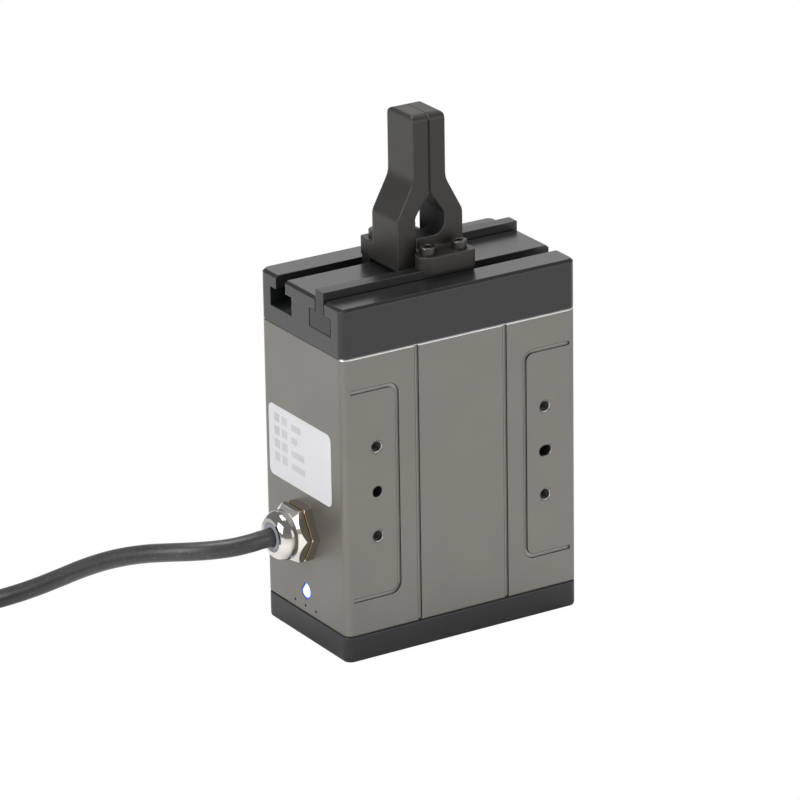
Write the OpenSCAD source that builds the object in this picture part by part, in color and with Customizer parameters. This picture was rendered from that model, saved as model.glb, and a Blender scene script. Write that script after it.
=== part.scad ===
// Electric two finger parallel gripper.
// A vertical gearmotor turns a pinion that drives two opposed rack sliders, each carrying a finger.
// X is the jaw travel, +Z is up, the front face looks to -Y and the cable leaves the -X face.
// The origin is the middle of the underside of the base plate. All sizes are in millimetres.

/* [Body] */
// Width of the body along the jaw travel
body_w = 95; // [93:0.5:110]
// Depth of the body across the two guide slots
body_d = 54.2; // [53.6:0.2:62]
// Thickness of the base plate
base_t = 9.2; // [8.8:0.2:12]
// Height of the motor housing
housing_h = 101.8; // [101:0.2:115]
// Height of the guide block
block_h = 18; // [17.6:0.1:21]
// Thickness of the housing walls in front and behind
wall_front = 8; // [7.4:0.1:8.4]
// Thickness of the housing walls at the ends
wall_end = 5; // [4.4:0.1:5.4]
// Radius of the body's upright corners
corner_r = 3; // [2:0.25:4]
// Chamfer round the top of the guide block
block_chamfer = 1; // [0.4:0.1:1.4]
// Thickness of the gasket between base plate and housing
gasket_t = 0.4; // [0.3:0.1:0.8]

/* [Housing face] */
// Distance of the two long grooves from the middle
groove_x = 17.9; // [15:0.1:20]
// Width of the long grooves
groove_w = 1.5; // [1:0.1:2]
// Depth of the long grooves and of the panel lines
groove_depth = 0.8; // [0.3:0.1:1]
// Distance of the upright panel lines from the middle
panel_x = 26; // [24:0.5:28]
// Width of the panel lines
panel_line_w = 1.4; // [1:0.1:2]
// Spacing of the mounting threads across the face
face_span_x = 68.6; // [64:0.2:72]
// Spacing of the mounting threads up the face
face_span_z = 32.9; // [28:0.1:36]
// Height of the middle of the thread pattern above the underside
face_mid_z = 61.1; // [58:0.1:64]
// Thread diameter of the mounting holes
face_thread_d = 4; // [3:0.5:5]
// Diameter of the dowel hole and width of the dowel slot
dowel_d = 4; // [3:0.5:5]
// Length of the dowel slot
dowel_slot_l = 5; // [4.5:0.5:8]

/* [Slides] */
// Width of each tee slot inside the guide block
tee_w = 14.4; // [13.6:0.1:15.4]
// Height of each tee slot
tee_h = 6.9; // [6.5:0.1:7.4]
// Thickness of the lips over the tee slots
lip_t = 4.8; // [4.6:0.1:5.6]
// Width of the mouth of each slot
mouth_w = 6.4; // [5.8:0.1:7.4]
// Width of the slider neck in the mouth
neck_w = 5; // [4.4:0.1:5.4]
// Height that the neck stands above the block
neck_proud = 3; // [2.4:0.1:3.6]
// Running clearance of the sliders in the tee slots
slide_clear = 0.1; // [0.05:0.05:0.2]

/* [Rack and pinion] */
// Gear module
gear_module = 1; // [0.9:0.05:1.1]
// Number of teeth on the pinion
pinion_teeth = 14; // [12:2:16]
// Thinning of every tooth flank for backlash
flank_play = 0.05; // [0.03:0.01:0.08]

/* [Fingers] */
// Height of the finger tips above the guide block
finger_h = 55.8; // [50:0.2:70]
// Depth of a finger from front to back
finger_d = 16.4; // [14.8:0.2:16.8]
// Thickness of the gripping part of a finger
tip_t = 6.4; // [5:0.1:8]
// Height of the gripping part down to the window
tip_l = 27.5; // [22:0.5:30]
// Distance of a finger's outer face from the middle
leg_out = 13.1; // [12.6:0.1:14.4]
// Distance of a leg's inner face from the middle
leg_in = 6; // [5.2:0.1:6.6]
// Height of the window floor above the guide block
window_floor = 12.1; // [11:0.1:13]
// Thickness of the screw foot
foot_t = 6.2; // [5:0.1:7]
// Gap between the foot and the guide block
foot_gap = 1.4; // [0.8:0.1:2]
// Spacing of the two finger screws
finger_screw_pitch = 12.7; // [12:0.1:13]
// Gap between the two closed fingers
finger_gap = 0.2; // [0.1:0.1:0.6]
// Height of the window floor at the back, above the guide block
back_floor = 8.6; // [8.4:0.1:9.6]

/* [Motor] */
// Diameter of the motor and of its gearhead
motor_d = 36; // [32:0.5:36.5]
// Length of the motor
motor_l = 45; // [40:1:46]
// Length of the gearhead
gearhead_l = 28; // [24:1:28]
// Diameter of the gearhead output shaft
shaft_d = 6; // [5:0.5:6]
// Thickness of the plate that carries the gearhead
plate_t = 8; // [7.6:0.1:9]

/* [Cable entry] */
// Height of the cable gland above the underside
gland_z = 40.8; // [36:0.2:44]
// Distance of the gland from the middle plane
gland_y = 0.8; // [-2:0.1:2]
// Size of the gland hexagons across the flats
gland_af = 19; // [18:0.5:20]
// Diameter of the gland's thread
gland_thread_d = 16; // [15.5:0.5:16]
// Length of the domed nut in front of the hexagon
dome_l = 9.6; // [8:0.2:12]
// Diameter of the cable
cable_d = 6.5; // [5.5:0.1:7]
// Height of the status window above the underside
lens_z = 17.8; // [16.5:0.1:19]

/* [Hidden] */
$fn = 64;
eps = 0.01;

// ---- heights of the main joints ----
z_housing = base_t + gasket_t;
z_block = z_housing + housing_h;
z_top = z_block + block_h;
z_lip = z_top - lip_t;
z_tee = z_lip - tee_h;

// ---- gear train ----
pressure_angle = 20;
pitch_r = gear_module * pinion_teeth / 2;
tip_r = pitch_r + gear_module;
root_r = pitch_r - 1.05 * gear_module;
rack_pitch = PI * gear_module;
rack_tip = 0.8 * gear_module;
rack_root = 1.25 * gear_module;
gear_clear = 0.5;
pocket_r = tip_r + gear_clear;

// ---- slots and sliders ----
rack_face_y = pitch_r - rack_tip;
tee_in = rack_face_y - gear_clear;
slot_y = tee_in + tee_w / 2;
slider_l = body_w / 2 + leg_out;
foot_out_y = tee_in + tee_w - 2 * slide_clear;
slider_z0 = z_tee + slide_clear;
slider_z1 = z_lip - slide_clear;
neck_top = z_top + neck_proud;

// ---- fastener sizes: [thread, head diameter, head height, socket across flats, clearance hole] ----
M3 = [3, 5.5, 3, 2.5, 3.4];
M4 = [4, 7, 4, 3, 4.5];
M2 = [2, 3.8, 2, 1.5, 2.3];
seat_clear = 0.25;

// ---- tie screws through the body's corners ----
tie_x = body_w / 2 - 5.7;
tie_y = body_d / 2 - 5.7;
tie_boss_r = 4.4;
tie_seat_z = 6.2;
tie_end_z = z_tee - 1.4;

// ---- drive bearings ----
lower_r = pocket_r + 1;
lower_t = 6;
lower_z = z_block - 0.5;
upper_r = 4.5;
upper_t = 2.5;
upper_z = z_lip + 0.1;
journal_d = 4;
ring_gap = 0.02;

// ---- motor stack ----
plate_z = z_block - plate_t;
gearhead_z = plate_z - gearhead_l;
motor_z = gearhead_z - motor_l;
can_t = 1.6;
motor_room = 0.6;
cap_t = 3;
winding_room = 8;
lead_room = 12;
shaft_depth = 13;
rotor_end = 8;
case_rim_h = 6;
rotor_d = 5;
pilot_d = 20;
pilot_h = 2;
plate_clear = 0.6;
plate_screw_x = 31;
plate_screw_y = 13.5;
gearhead_pcd_r = lower_r + 3.5;

// ---- boards ----
board_t = 1.6;
standoff_l = 6;
board_x = body_w / 2 - wall_end - standoff_l - board_t;
board_side = 2.1;
board_w = body_d - 2 * wall_front - 2 * board_side;
board_z0 = z_housing + 12;
board_h = 72;
chip_w = 7;
chip_t = 1.4;
capacitor_d = 8;
capacitor_h = 9;
capacitor_y = 6;
board_hole_in = 3;
encoder_gap = 4;
encoder_board_r = 13;
led_board_t = 1.2;
led_t = 0.8;
lens_flange_t = 1;
lens_flange_r = 4.6;
lens_r = 3.05;
lens_flat = 2.1;
lens_recess = 0.3;

// ---- gland ----
gland_x = -body_w / 2;
hex_t = 3.2;
hex_gap = 0.5;
nut_hex_t = 3.2;
nose_r = 5.5;
neck_r = 8.3;
cone_slope = 0.9;
spigot_d = gland_thread_d - 2;
spigot_l = hex_gap + nut_hex_t + 1.5;
gland_bore_r = cable_d / 2 + 1.2;
locknut_t = 3.5;
cable_exit_x = gland_x - hex_t - hex_gap - dome_l;

// ---- foot and finger ----
corner_steps = 6;
tip_round = 2.8;
tip_corner_r = 1.3;
flare_in_r = 9;
flare_out_r = 5;
foot_corner_r = 1.6;
foot_fillet_r = 1.5;
z_apex = z_top + finger_h - tip_l;
z_flare = z_apex + 3.8;
z_leg = z_apex - 8.7;
foot_z = z_top + foot_gap;
foot_screw_r = 4.4;
foot_screw_x = leg_out - foot_screw_r - finger_screw_pitch;
leg_gap = 0.3;
face_x = finger_gap / 2;
key_clear = 0.02;

// ---- cable outside the body ----
cable_r = cable_d / 2;
coil_at = [-192, 62];
coil_mean_r = 35;
coil_across = 3;
coil_up = 2;
cable_route = [
    [cable_exit_x, gland_y, gland_z], [-64.5, gland_y, gland_z], [-68.3, 0.9, 40.5], [-75, 2.2, 39.9],
    [-82, 5.2, 39.4], [-88, 10, 38.6], [-93, 16, 37.4], [-97.5, 23, 35.6], [-102, 30.5, 33],
    [-106.5, 38, 29.6], [-111, 45.5, 25.4], [-115.5, 53, 20.6], [-120.5, 60.5, 15.8],
    [-126, 68, 11.4], [-132.5, 75, 7.8], [-140, 81.5, 5.2], [-148.5, 87, 3.8],
    [-157.5, 91.6, 3.3], [-166, 95.5, 3.3], [-173.4, 99.1, 3.3]];
tail_route = [
    [-233.5, 62, 9.7], [-233.5, 54, 9.6], [-233.4, 46, 8.7], [-233.2, 38, 7], [-232.8, 30, 5.1],
    [-232.2, 22, 3.8], [-231.2, 14, 3.3], [-230, 6, 3.3]];
core_d = 1.3;
core_offset = 1.35;
lead_l = 22;
ferrule_l = 5;

// ================= helpers =================

// A rectangle with round corners, centred on the origin
module round_rect(w, d, r) {
    square([w - 2 * r, d], center = true);
    square([w, d - 2 * r], center = true);
    for (sx = [-1, 1], sy = [-1, 1]) translate([sx * (w / 2 - r), sy * (d / 2 - r)]) circle(r);
}

// A slab with round upright corners and chamfered top and bottom edges
module slab(w, d, h, r, top_c, bottom_c) {
    hull() {
        linear_extrude(h - top_c, convexity = 2) round_slab_outline(w, d, r, bottom_c, false);
        translate([0, 0, bottom_c]) linear_extrude(h - top_c - bottom_c) round_slab_outline(w, d, r, 0, true);
        linear_extrude(h) round_slab_outline(w, d, r, top_c, false);
    }
}

module round_slab_outline(w, d, r, inset, full) {
    round_rect(w - 2 * inset, d - 2 * inset, full ? r : max(r - inset, 0.4), $fn = 32);
}

// A hexagonal prism, flats facing +Y and -Y
module hex_prism(af, h) {
    rotate(30) cylinder(d = af / cos(30), h = h, $fn = 6);
}

// A socket head cap screw, head seat at the origin, head up and shank down
module cap_screw(size, shank) {
    head_h = size[2];
    difference() {
        union() {
            translate([0, 0, -shank]) cylinder(d = size[0], h = shank + eps, $fn = 32);
            cylinder(d = size[1], h = head_h - 0.3, $fn = 40);
            translate([0, 0, head_h - 0.3]) cylinder(d1 = size[1], d2 = size[1] - 0.6, h = 0.3, $fn = 40);
        }
        translate([0, 0, head_h / 2]) hex_prism(size[3], head_h);
    }
}

// Turns a shape made along +Z so that it runs from the -X face outwards
module out_of_end(x, y, z) {
    translate([x, y, z]) rotate([0, -90, 0]) children();
}

// Copies the children by half a turn for the back jaw
module back() {
    rotate(180) children();
}

// A tube along a route, with n sides whose edges lie on radius r
function unit(v) = v / norm(v);
function along(p, i) = unit(p[min(i + 1, len(p) - 1)] - p[max(i - 1, 0)]);
function side_of(t) = unit(cross([0, 0, 1], t));
function ring(c, t, r, n) = let (s = side_of(t), u = cross(t, s))
    [for (k = [0:n - 1]) c + r * (cos(360 * k / n) * s + sin(360 * k / n) * u)];
module tube(p, r, n) {
    rings = [for (i = [0:len(p) - 1]) each ring(p[i], along(p, i), r, n)];
    m = len(p);
    polyhedron(rings, concat(
        [[for (k = [0:n - 1]) k]],
        [for (i = [0:m - 2], k = [0:n - 1]) let (a = i * n, k2 = (k + 1) % n)
            [a + k2, a + k, a + n + k, a + n + k2]],
        [[for (k = [n - 1:-1:0]) (m - 1) * n + k]]));
}

// ================= gears =================

function involute(a) = tan(a) * 180 / PI - a;
function flank_angle(r, rb, half) = half + involute(pressure_angle) - involute(acos(min(1, rb / r)));

// Outline of a spur gear with involute flanks, one tooth pointing along +X
module gear_outline(m, teeth, tip, root, play) {
    rp = m * teeth / 2;
    rb = rp * cos(pressure_angle);
    half = (PI * m / 4 - play) / rp * 180 / PI;
    steps = 6;
    flank = [for (i = [0:steps]) let (r = rb + (tip - rb) * i / steps) [r, flank_angle(r, rb, half)]];
    root_half = flank_angle(rb, rb, half);
    polygon([for (t = [0:teeth - 1]) let (a = 360 * t / teeth) each concat(
        [[root * cos(a - root_half), root * sin(a - root_half)]],
        [for (f = flank) [f[0] * cos(a - f[1]), f[0] * sin(a - f[1])]],
        [for (i = [steps:-1:0]) let (f = flank[i]) [f[0] * cos(a + f[1]), f[0] * sin(a + f[1])]],
        [[root * cos(a + root_half), root * sin(a + root_half)]])]);
}

// Half width of a rack tooth space at a height above the pitch line, towards the pinion
function space_half(h) = PI * gear_module / 4 + flank_play + h * tan(pressure_angle);

// Outline of one rack tooth space, opening towards +Y, pitch line on the X axis
module rack_space() {
    open_h = rack_tip + gear_clear;
    polygon([
        [-space_half(-rack_root), -rack_root], [space_half(-rack_root), -rack_root],
        [space_half(open_h), open_h], [-space_half(open_h), open_h]]);
}

// ================= body =================

// Outline of the hollow inside the housing, left round the four tie screw bosses
module cavity_outline() {
    difference() {
        union() {
            round_rect(body_w - 2 * wall_end, body_d - 2 * wall_front, 2);
            circle(d = motor_d + 2 * motor_room);
        }
        for (sx = [-1, 1], sy = [-1, 1]) translate([sx * tie_x, sy * tie_y]) circle(tie_boss_r);
    }
}

// One open panel line on the front face, drawn for the right side
module panel_line() {
    half = panel_line_w / 2;
    z0 = z_housing + 13;
    z1 = z_block - 12.4;
    tip_x = body_w / 2 - 3.7;
    bend = 3.5;
    translate([0, (z0 + z1) / 2]) {
        intersection() {
            difference() {
                translate([panel_x - half + body_w / 2, 0])
                    round_rect(body_w, z1 - z0 + 2 * half, bend + half);
                translate([panel_x + half + body_w / 2, 0])
                    round_rect(body_w, z1 - z0 - 2 * half, bend - half);
            }
            translate([0, -housing_h / 2]) square([tip_x, housing_h]);
        }
        for (s = [-1, 1]) translate([tip_x, s * (z1 - z0) / 2]) circle(half);
    }
}

// Puts a flat outline on the front face and cuts it to a depth
module front_cut(depth) {
    translate([0, -body_d / 2 + depth, 0]) rotate([90, 0, 0]) linear_extrude(depth + 1) children();
}

module face_thread(x, z) {
    mouth = 0.4;
    translate([x, -body_d / 2 - eps, z]) rotate([-90, 0, 0]) {
        cylinder(d = face_thread_d, h = wall_front - 1);
        cylinder(d1 = face_thread_d + 2 * mouth, d2 = face_thread_d, h = mouth, $fn = 40);
    }
}

// Outline of the status window: a round light pipe with one flat that keeps it from turning
module lens_outline(grow) {
    flat_turn = 38;
    translate([-0.3, 0.1]) difference() {
        circle(lens_r + grow);
        rotate(flat_turn) translate([lens_flat + grow, -2 * lens_r]) square([2 * lens_r, 4 * lens_r]);
    }
}

module housing() {
    lens_play = 0.1;
    pin_d = 0.8;
    pin_pitch = 6.9;
    pin_z = 12.2;
    gland_hole = gland_thread_d + 0.3;
    color([0.5, 0.49, 0.46]) difference() {
        translate([0, 0, z_housing]) slab(body_w, body_d, housing_h, corner_r, 0.4, 0.3);
        translate([0, 0, z_housing - 1]) linear_extrude(housing_h + 2) cavity_outline();
        for (sx = [-1, 1], sy = [-1, 1]) translate([sx * tie_x, sy * tie_y, z_housing - 1])
            cylinder(d = M4[4], h = housing_h + 2);
        for (sx = [-1, 1], sy = [-1, 1])
            translate([sx * groove_x - groove_w / 2, sy * (body_d / 2 + 0.5) - groove_depth - 0.5, 0])
                cube([groove_w, 2 * groove_depth + 1, z_top]);
        for (s = [0, 1]) mirror([s, 0, 0]) front_cut(groove_depth) panel_line();
        for (sx = [-1, 1], sz = [-1, 1])
            face_thread(sx * face_span_x / 2, face_mid_z + sz * face_span_z / 2);
        translate([-face_span_x / 2, -body_d / 2 - eps, face_mid_z]) rotate([-90, 0, 0])
            cylinder(d = dowel_d, h = wall_front - 2);
        front_cut(wall_front - 2) translate([face_span_x / 2, face_mid_z])
            round_rect(dowel_slot_l, dowel_d, dowel_d / 2 - eps);
        out_of_end(gland_x + wall_end + 1, gland_y, gland_z) cylinder(d = gland_hole, h = wall_end + 2);
        translate([gland_x - 1, 0, lens_z]) rotate([90, 0, 90]) linear_extrude(wall_end + 2)
            translate([gland_y, 0]) lens_outline(lens_play);
        for (k = [-1, 0, 1]) out_of_end(gland_x + wall_end + 1, gland_y + k * pin_pitch, pin_z)
            cylinder(d = pin_d, h = wall_end + 2, $fn = 20);
    }
}

module base_plate() {
    thread_x = 30;
    thread_y = 16;
    thread_depth = 7;
    color([0.17, 0.17, 0.17]) difference() {
        slab(body_w, body_d, base_t, corner_r, 0.3, 0.8);
        for (sx = [-1, 1], sy = [-1, 1]) {
            translate([sx * tie_x, sy * tie_y, -eps]) cylinder(d = M4[4], h = base_t + 1);
            translate([sx * tie_x, sy * tie_y, -eps]) cylinder(d = M4[1] + 2 * seat_clear, h = tie_seat_z);
            translate([sx * thread_x, sy * thread_y, -eps]) cylinder(d = face_thread_d, h = thread_depth);
        }
        for (s = [-1, 1]) translate([s * thread_x, 0, -eps]) cylinder(d = dowel_d, h = thread_depth);
    }
}

module base_gasket() {
    inset = 0.4;
    color([0.06, 0.06, 0.06]) translate([0, 0, base_t]) linear_extrude(gasket_t) difference() {
        round_rect(body_w - 2 * inset, body_d - 2 * inset, corner_r - inset);
        cavity_outline();
        for (sx = [-1, 1], sy = [-1, 1]) translate([sx * tie_x, sy * tie_y]) circle(d = M4[4]);
    }
}

module tie_screws() {
    color([0.35, 0.35, 0.36]) for (sx = [-1, 1], sy = [-1, 1])
        translate([sx * tie_x, sy * tie_y, tie_seat_z - eps]) rotate([180, 0, 0])
            cap_screw(M4, tie_end_z - tie_seat_z);
}

// ================= guide block =================

// Section of one tee slot seen along X
module tee_outline() {
    translate([tee_in, z_tee]) square([tee_w, tee_h]);
    translate([slot_y - mouth_w / 2, z_tee]) square([mouth_w, z_top - z_tee + 1]);
}

module guide_block() {
    seat_r = upper_r;
    color([0.2, 0.2, 0.2]) difference() {
        translate([0, 0, z_block]) slab(body_w, body_d, block_h, corner_r, block_chamfer, 0.3);
        for (a = [0, 180]) rotate(a)
            translate([-body_w / 2 - 1, 0, 0]) rotate([90, 0, 90]) linear_extrude(body_w + 2) tee_outline();
        translate([0, 0, z_block - 1]) cylinder(r = pocket_r, h = z_lip - z_block + 1);
        translate([0, 0, z_block - 1]) cylinder(r = lower_r, h = lower_z + lower_t - z_block + 1);
        translate([0, 0, z_lip - 1]) cylinder(r = seat_r, h = upper_z + upper_t - z_lip + 1.1);
        for (sx = [-1, 1], sy = [-1, 1]) {
            translate([sx * tie_x, sy * tie_y, z_block - 1]) cylinder(d = M4[0], h = tie_end_z - z_block + 1.3);
            translate([sx * plate_screw_x, sy * plate_screw_y, z_block - 1])
                cylinder(d = M3[0], h = z_tee - z_block - 1 + 1);
        }
    }
}

// ================= sliders =================

// The front slider: neck, tee foot and the rack cut into its inner side
module slider() {
    x0 = -body_w / 2;
    y_out = -foot_out_y;
    first = ceil((-slider_l + leg_out + rack_pitch) / rack_pitch);
    last = floor((leg_out - 2) / rack_pitch);
    thread_l = 8;
    difference() {
        union() {
            translate([x0, y_out, slider_z0]) cube([slider_l, foot_out_y - rack_face_y, slider_z1 - slider_z0]);
            translate([x0, -slot_y - neck_w / 2, slider_z0]) cube([slider_l, neck_w, neck_top - slider_z0]);
        }
        for (k = [first:last])
            translate([k * rack_pitch, -pitch_r, slider_z0 - 1]) linear_extrude(tee_h + 1.4) rack_space();
        for (k = [0, 1]) translate([foot_screw_x + k * finger_screw_pitch, -slot_y, neck_top - thread_l])
            cylinder(d = M3[0], h = thread_l + 1, $fn = 32);
    }
}

module front_slider() { color([0.3, 0.3, 0.3]) slider(); }
module back_slider() { color([0.3, 0.3, 0.3]) back() slider(); }

// ================= fingers =================

// Side view of a finger: tip with an eased outer corner, flare and leg
// Points of an arc of radius r that rounds the corner b between a and c
function rounded(a, b, c, r) = let (
        u = unit(a - b), v = unit(c - b), half = acos(u * v) / 2,
        run = r / tan(half), p = b + run * u, m = b + r / sin(half) * unit(u + v),
        p0 = p - m, turn = 180 - 2 * half, way = u[0] * v[1] - u[1] * v[0] > 0 ? -1 : 1)
    [for (k = [0:corner_steps]) let (t = way * turn * k / corner_steps)
        m + [p0[0] * cos(t) - p0[1] * sin(t), p0[0] * sin(t) + p0[1] * cos(t)]];

// Side view of a finger: the tip, the flare and the leg, with the slanted side of the window
module finger_side() {
    z1 = z_top + finger_h;
    window_r = 4;
    polygon(concat(
        [[face_x, z1]], rounded([face_x, z1], [tip_t, z1], [tip_t, z_flare], tip_corner_r),
        rounded([tip_t, z1], [tip_t, z_flare], [leg_out, z_leg], flare_in_r),
        rounded([tip_t, z_flare], [leg_out, z_leg], [leg_out, foot_z], flare_out_r),
        [[leg_out, foot_z], [leg_in, foot_z]],
        rounded([leg_in, foot_z], [leg_in, z_leg], [face_x, z_apex], window_r),
        [[face_x, z_apex]]));
}

// The floor of the window between the legs, with a round inner corner
module window_floor_side(floor_h) {
    bend = 4.4;
    floor_z = z_top + floor_h;
    difference() {
        translate([-leg_in + leg_gap, foot_z]) square([2 * leg_in - leg_gap + 1, floor_z + bend - foot_z]);
        translate([-leg_in - 1, floor_z]) square([2 * leg_in + 1 - bend, bend + 1]);
        translate([leg_in - bend, floor_z + bend]) circle(bend);
        translate([leg_in - bend - 1, floor_z + bend]) square([bend + 1, 1]);
    }
}

// Plan view of the screw foot: round about the inner screw, square at the leg
module foot_plan() {
    r = foot_corner_r;
    y0 = -slot_y - foot_screw_r;
    y1 = -finger_d / 2;
    translate([foot_screw_x, -slot_y]) circle(foot_screw_r);
    translate([foot_screw_x, y0]) square([leg_out - r - foot_screw_x, y1 - y0 + 1]);
    translate([leg_out - r - 1, y0 + r]) square([r + 1, y1 - y0 - r + 1]);
    translate([leg_out - r, y0 + r]) circle(r);
}

// Section of the fillet where the foot meets the finger's front face
module foot_fillet() {
    sink = 0.03;
    difference() {
        translate([-foot_fillet_r, -0.2]) square([foot_fillet_r + 0.3, foot_fillet_r + 0.2]);
        translate([sink - foot_fillet_r, foot_fillet_r - sink]) circle(foot_fillet_r);
    }
}

// Section of what is cut away to round an edge whose corner is at the origin
module round_over(r) {
    sink = 0.03;
    difference() {
        translate([-r, -r]) square(r + 1);
        translate([sink - r, sink - r]) circle(r);
    }
}

module finger(floor_h) {
    seat_top = foot_z + foot_t;
    difference() {
        union() {
            translate([0, finger_d / 2, 0]) rotate([90, 0, 0]) linear_extrude(finger_d) finger_side();
            translate([0, -face_x, 0]) rotate([90, 0, 0])
                linear_extrude(finger_d / 2 - face_x) window_floor_side(floor_h);
            translate([0, 0, foot_z]) linear_extrude(foot_t) foot_plan();
            translate([-leg_in + leg_gap, -finger_d / 2, seat_top]) rotate([90, 0, 90])
                linear_extrude(leg_out + leg_in - leg_gap - foot_corner_r) foot_fillet();
        }
        for (s = [0, 1]) mirror([0, s, 0]) {
            translate([-1, finger_d / 2, z_top + finger_h]) rotate([90, 0, 90])
                linear_extrude(leg_out) round_over(tip_round);
        }
        translate([-leg_out, -slot_y - neck_w / 2 - key_clear, foot_z - 1])
            cube([3 * leg_out, neck_w + 2 * key_clear, neck_top - foot_z + 1]);
        for (k = [0, 1]) translate([foot_screw_x + k * finger_screw_pitch, -slot_y, foot_z - 1])
            cylinder(d = M3[4], h = foot_t + 1.5, $fn = 40);
        for (k = [0, 1]) translate([foot_screw_x + k * finger_screw_pitch, -slot_y, seat_top])
            cylinder(d = M3[1] + 2 * seat_clear, h = finger_h);
    }
}

module front_finger() { color([0.27, 0.26, 0.25]) finger(window_floor); }
module back_finger() { color([0.27, 0.26, 0.25]) back() finger(back_floor); }

module finger_screws() {
    for (k = [0, 1]) translate([foot_screw_x + k * finger_screw_pitch, -slot_y, foot_z + foot_t])
        cap_screw(M3, 12);
}

module front_finger_screws() { color([0.4, 0.4, 0.4]) finger_screws(); }
module back_finger_screws() { color([0.4, 0.4, 0.4]) back() finger_screws(); }

// ================= drive =================

key_w = 2;
key_l = 5;
pinion_z = z_tee + slide_clear;
pinion_h = tee_h - 3 * slide_clear;

module pinion() {
    color([0.72, 0.7, 0.66]) difference() {
        translate([0, 0, pinion_z]) linear_extrude(pinion_h) rotate(-90)
            gear_outline(gear_module, pinion_teeth, tip_r, root_r, flank_play);
        translate([0, 0, pinion_z - 1]) cylinder(d = shaft_d, h = pinion_h + 2, $fn = 48);
        translate([shaft_d / 2 - key_w / 2, -key_w / 2, pinion_z - 1]) cube([key_w, key_w, pinion_h + 2]);
    }
}

module pinion_key() {
    color([0.6, 0.6, 0.6]) translate([shaft_d / 2 - key_w / 2, -key_w / 2, pinion_z + 0.5])
        cube([key_w, key_w, key_l]);
}

module output_shaft() {
    inside = 12;
    z0 = plate_z - inside;
    z_step = upper_z - 0.2;
    color([0.75, 0.75, 0.76]) difference() {
        union() {
            translate([0, 0, z0]) cylinder(d = shaft_d, h = z_step - z0, $fn = 48);
            translate([0, 0, z_step - eps]) cylinder(d = journal_d, h = upper_t + 0.1, $fn = 48);
        }
        translate([shaft_d / 2 - key_w / 2, -key_w / 2, pinion_z + 0.5]) cube([key_w, key_w, key_l]);
    }
}

// ---- ball bearings: bore radius rb, outer radius ro, width t ----
function ball_r(rb, ro) = (ro - rb) * 0.28;

module bearing_outer(rb, ro, t) {
    mid = (rb + ro) / 2;
    land = ball_r(rb, ro) * 0.55;
    rotate_extrude($fn = 72) difference() {
        translate([mid + land, 0]) square([ro - mid - land, t]);
        translate([mid, t / 2]) circle(ball_r(rb, ro) + ring_gap, $fn = 32);
    }
}

module bearing_inner(rb, ro, t) {
    mid = (rb + ro) / 2;
    land = ball_r(rb, ro) * 0.55;
    rotate_extrude($fn = 72) difference() {
        translate([rb, 0]) square([mid - land - rb, t]);
        translate([mid, t / 2]) circle(ball_r(rb, ro) + ring_gap, $fn = 32);
    }
}

module bearing_balls(rb, ro, t, n) {
    for (k = [0:n - 1]) rotate(360 * k / n) translate([(rb + ro) / 2, 0, t / 2])
        sphere(ball_r(rb, ro), $fn = 24);
}

module lower_bearing_outer() {
    color("silver") translate([0, 0, lower_z]) bearing_outer(shaft_d / 2, lower_r, lower_t);
}
module lower_bearing_inner() {
    color("silver") translate([0, 0, lower_z]) bearing_inner(shaft_d / 2, lower_r, lower_t);
}
module lower_bearing_balls() {
    color("gainsboro") translate([0, 0, lower_z]) bearing_balls(shaft_d / 2, lower_r, lower_t, 8);
}
module upper_bearing_outer() {
    color("silver") translate([0, 0, upper_z]) bearing_outer(journal_d / 2, upper_r, upper_t);
}
module upper_bearing_inner() {
    color("silver") translate([0, 0, upper_z]) bearing_inner(journal_d / 2, upper_r, upper_t);
}
module upper_bearing_balls() {
    color("gainsboro") translate([0, 0, upper_z]) bearing_balls(journal_d / 2, upper_r, upper_t, 8);
}

module motor_plate() {
    w = 2 * (tie_x - tie_boss_r) - plate_clear;
    d = body_d - 2 * wall_front - plate_clear;
    head_h = M3[2] + 0.2;
    color([0.62, 0.62, 0.62]) difference() {
        translate([0, 0, plate_z]) linear_extrude(plate_t) round_rect(w, d, 2);
        translate([0, 0, plate_z - 1]) cylinder(d = shaft_d + 4, h = plate_t + 2);
        translate([0, 0, plate_z - 1]) cylinder(d = pilot_d, h = pilot_h + 1);
        translate([0, 0, lower_z]) cylinder(r = lower_r, h = plate_t);
        for (sx = [-1, 1], sy = [-1, 1]) translate([sx * plate_screw_x, sy * plate_screw_y, plate_z - 1]) {
            cylinder(d = M3[4], h = plate_t + 2, $fn = 32);
            cylinder(d = M3[1] + 2 * seat_clear, h = head_h + 1);
        }
        for (a = [45:90:315]) rotate(a) translate([gearhead_pcd_r, 0, plate_z - 1]) {
            cylinder(d = M3[4], h = plate_t + 2, $fn = 32);
            translate([0, 0, plate_t + 1 - head_h]) cylinder(d = M3[1] + 2 * seat_clear, h = head_h + 1);
        }
    }
}

module motor_plate_screws() {
    head_h = M3[2] + 0.2;
    seat_z = plate_z + head_h;
    color([0.4, 0.4, 0.4]) for (sx = [-1, 1], sy = [-1, 1])
        translate([sx * plate_screw_x, sy * plate_screw_y, seat_z]) rotate([180, 0, 0])
            cap_screw(M3, z_tee - 1.3 - seat_z);
}

module gearhead_screws() {
    head_h = M3[2] + 0.2;
    color([0.4, 0.4, 0.4]) for (a = [45:90:315]) rotate(a)
        translate([gearhead_pcd_r, 0, z_block - head_h]) cap_screw(M3, plate_t - head_h + 5);
}

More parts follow.
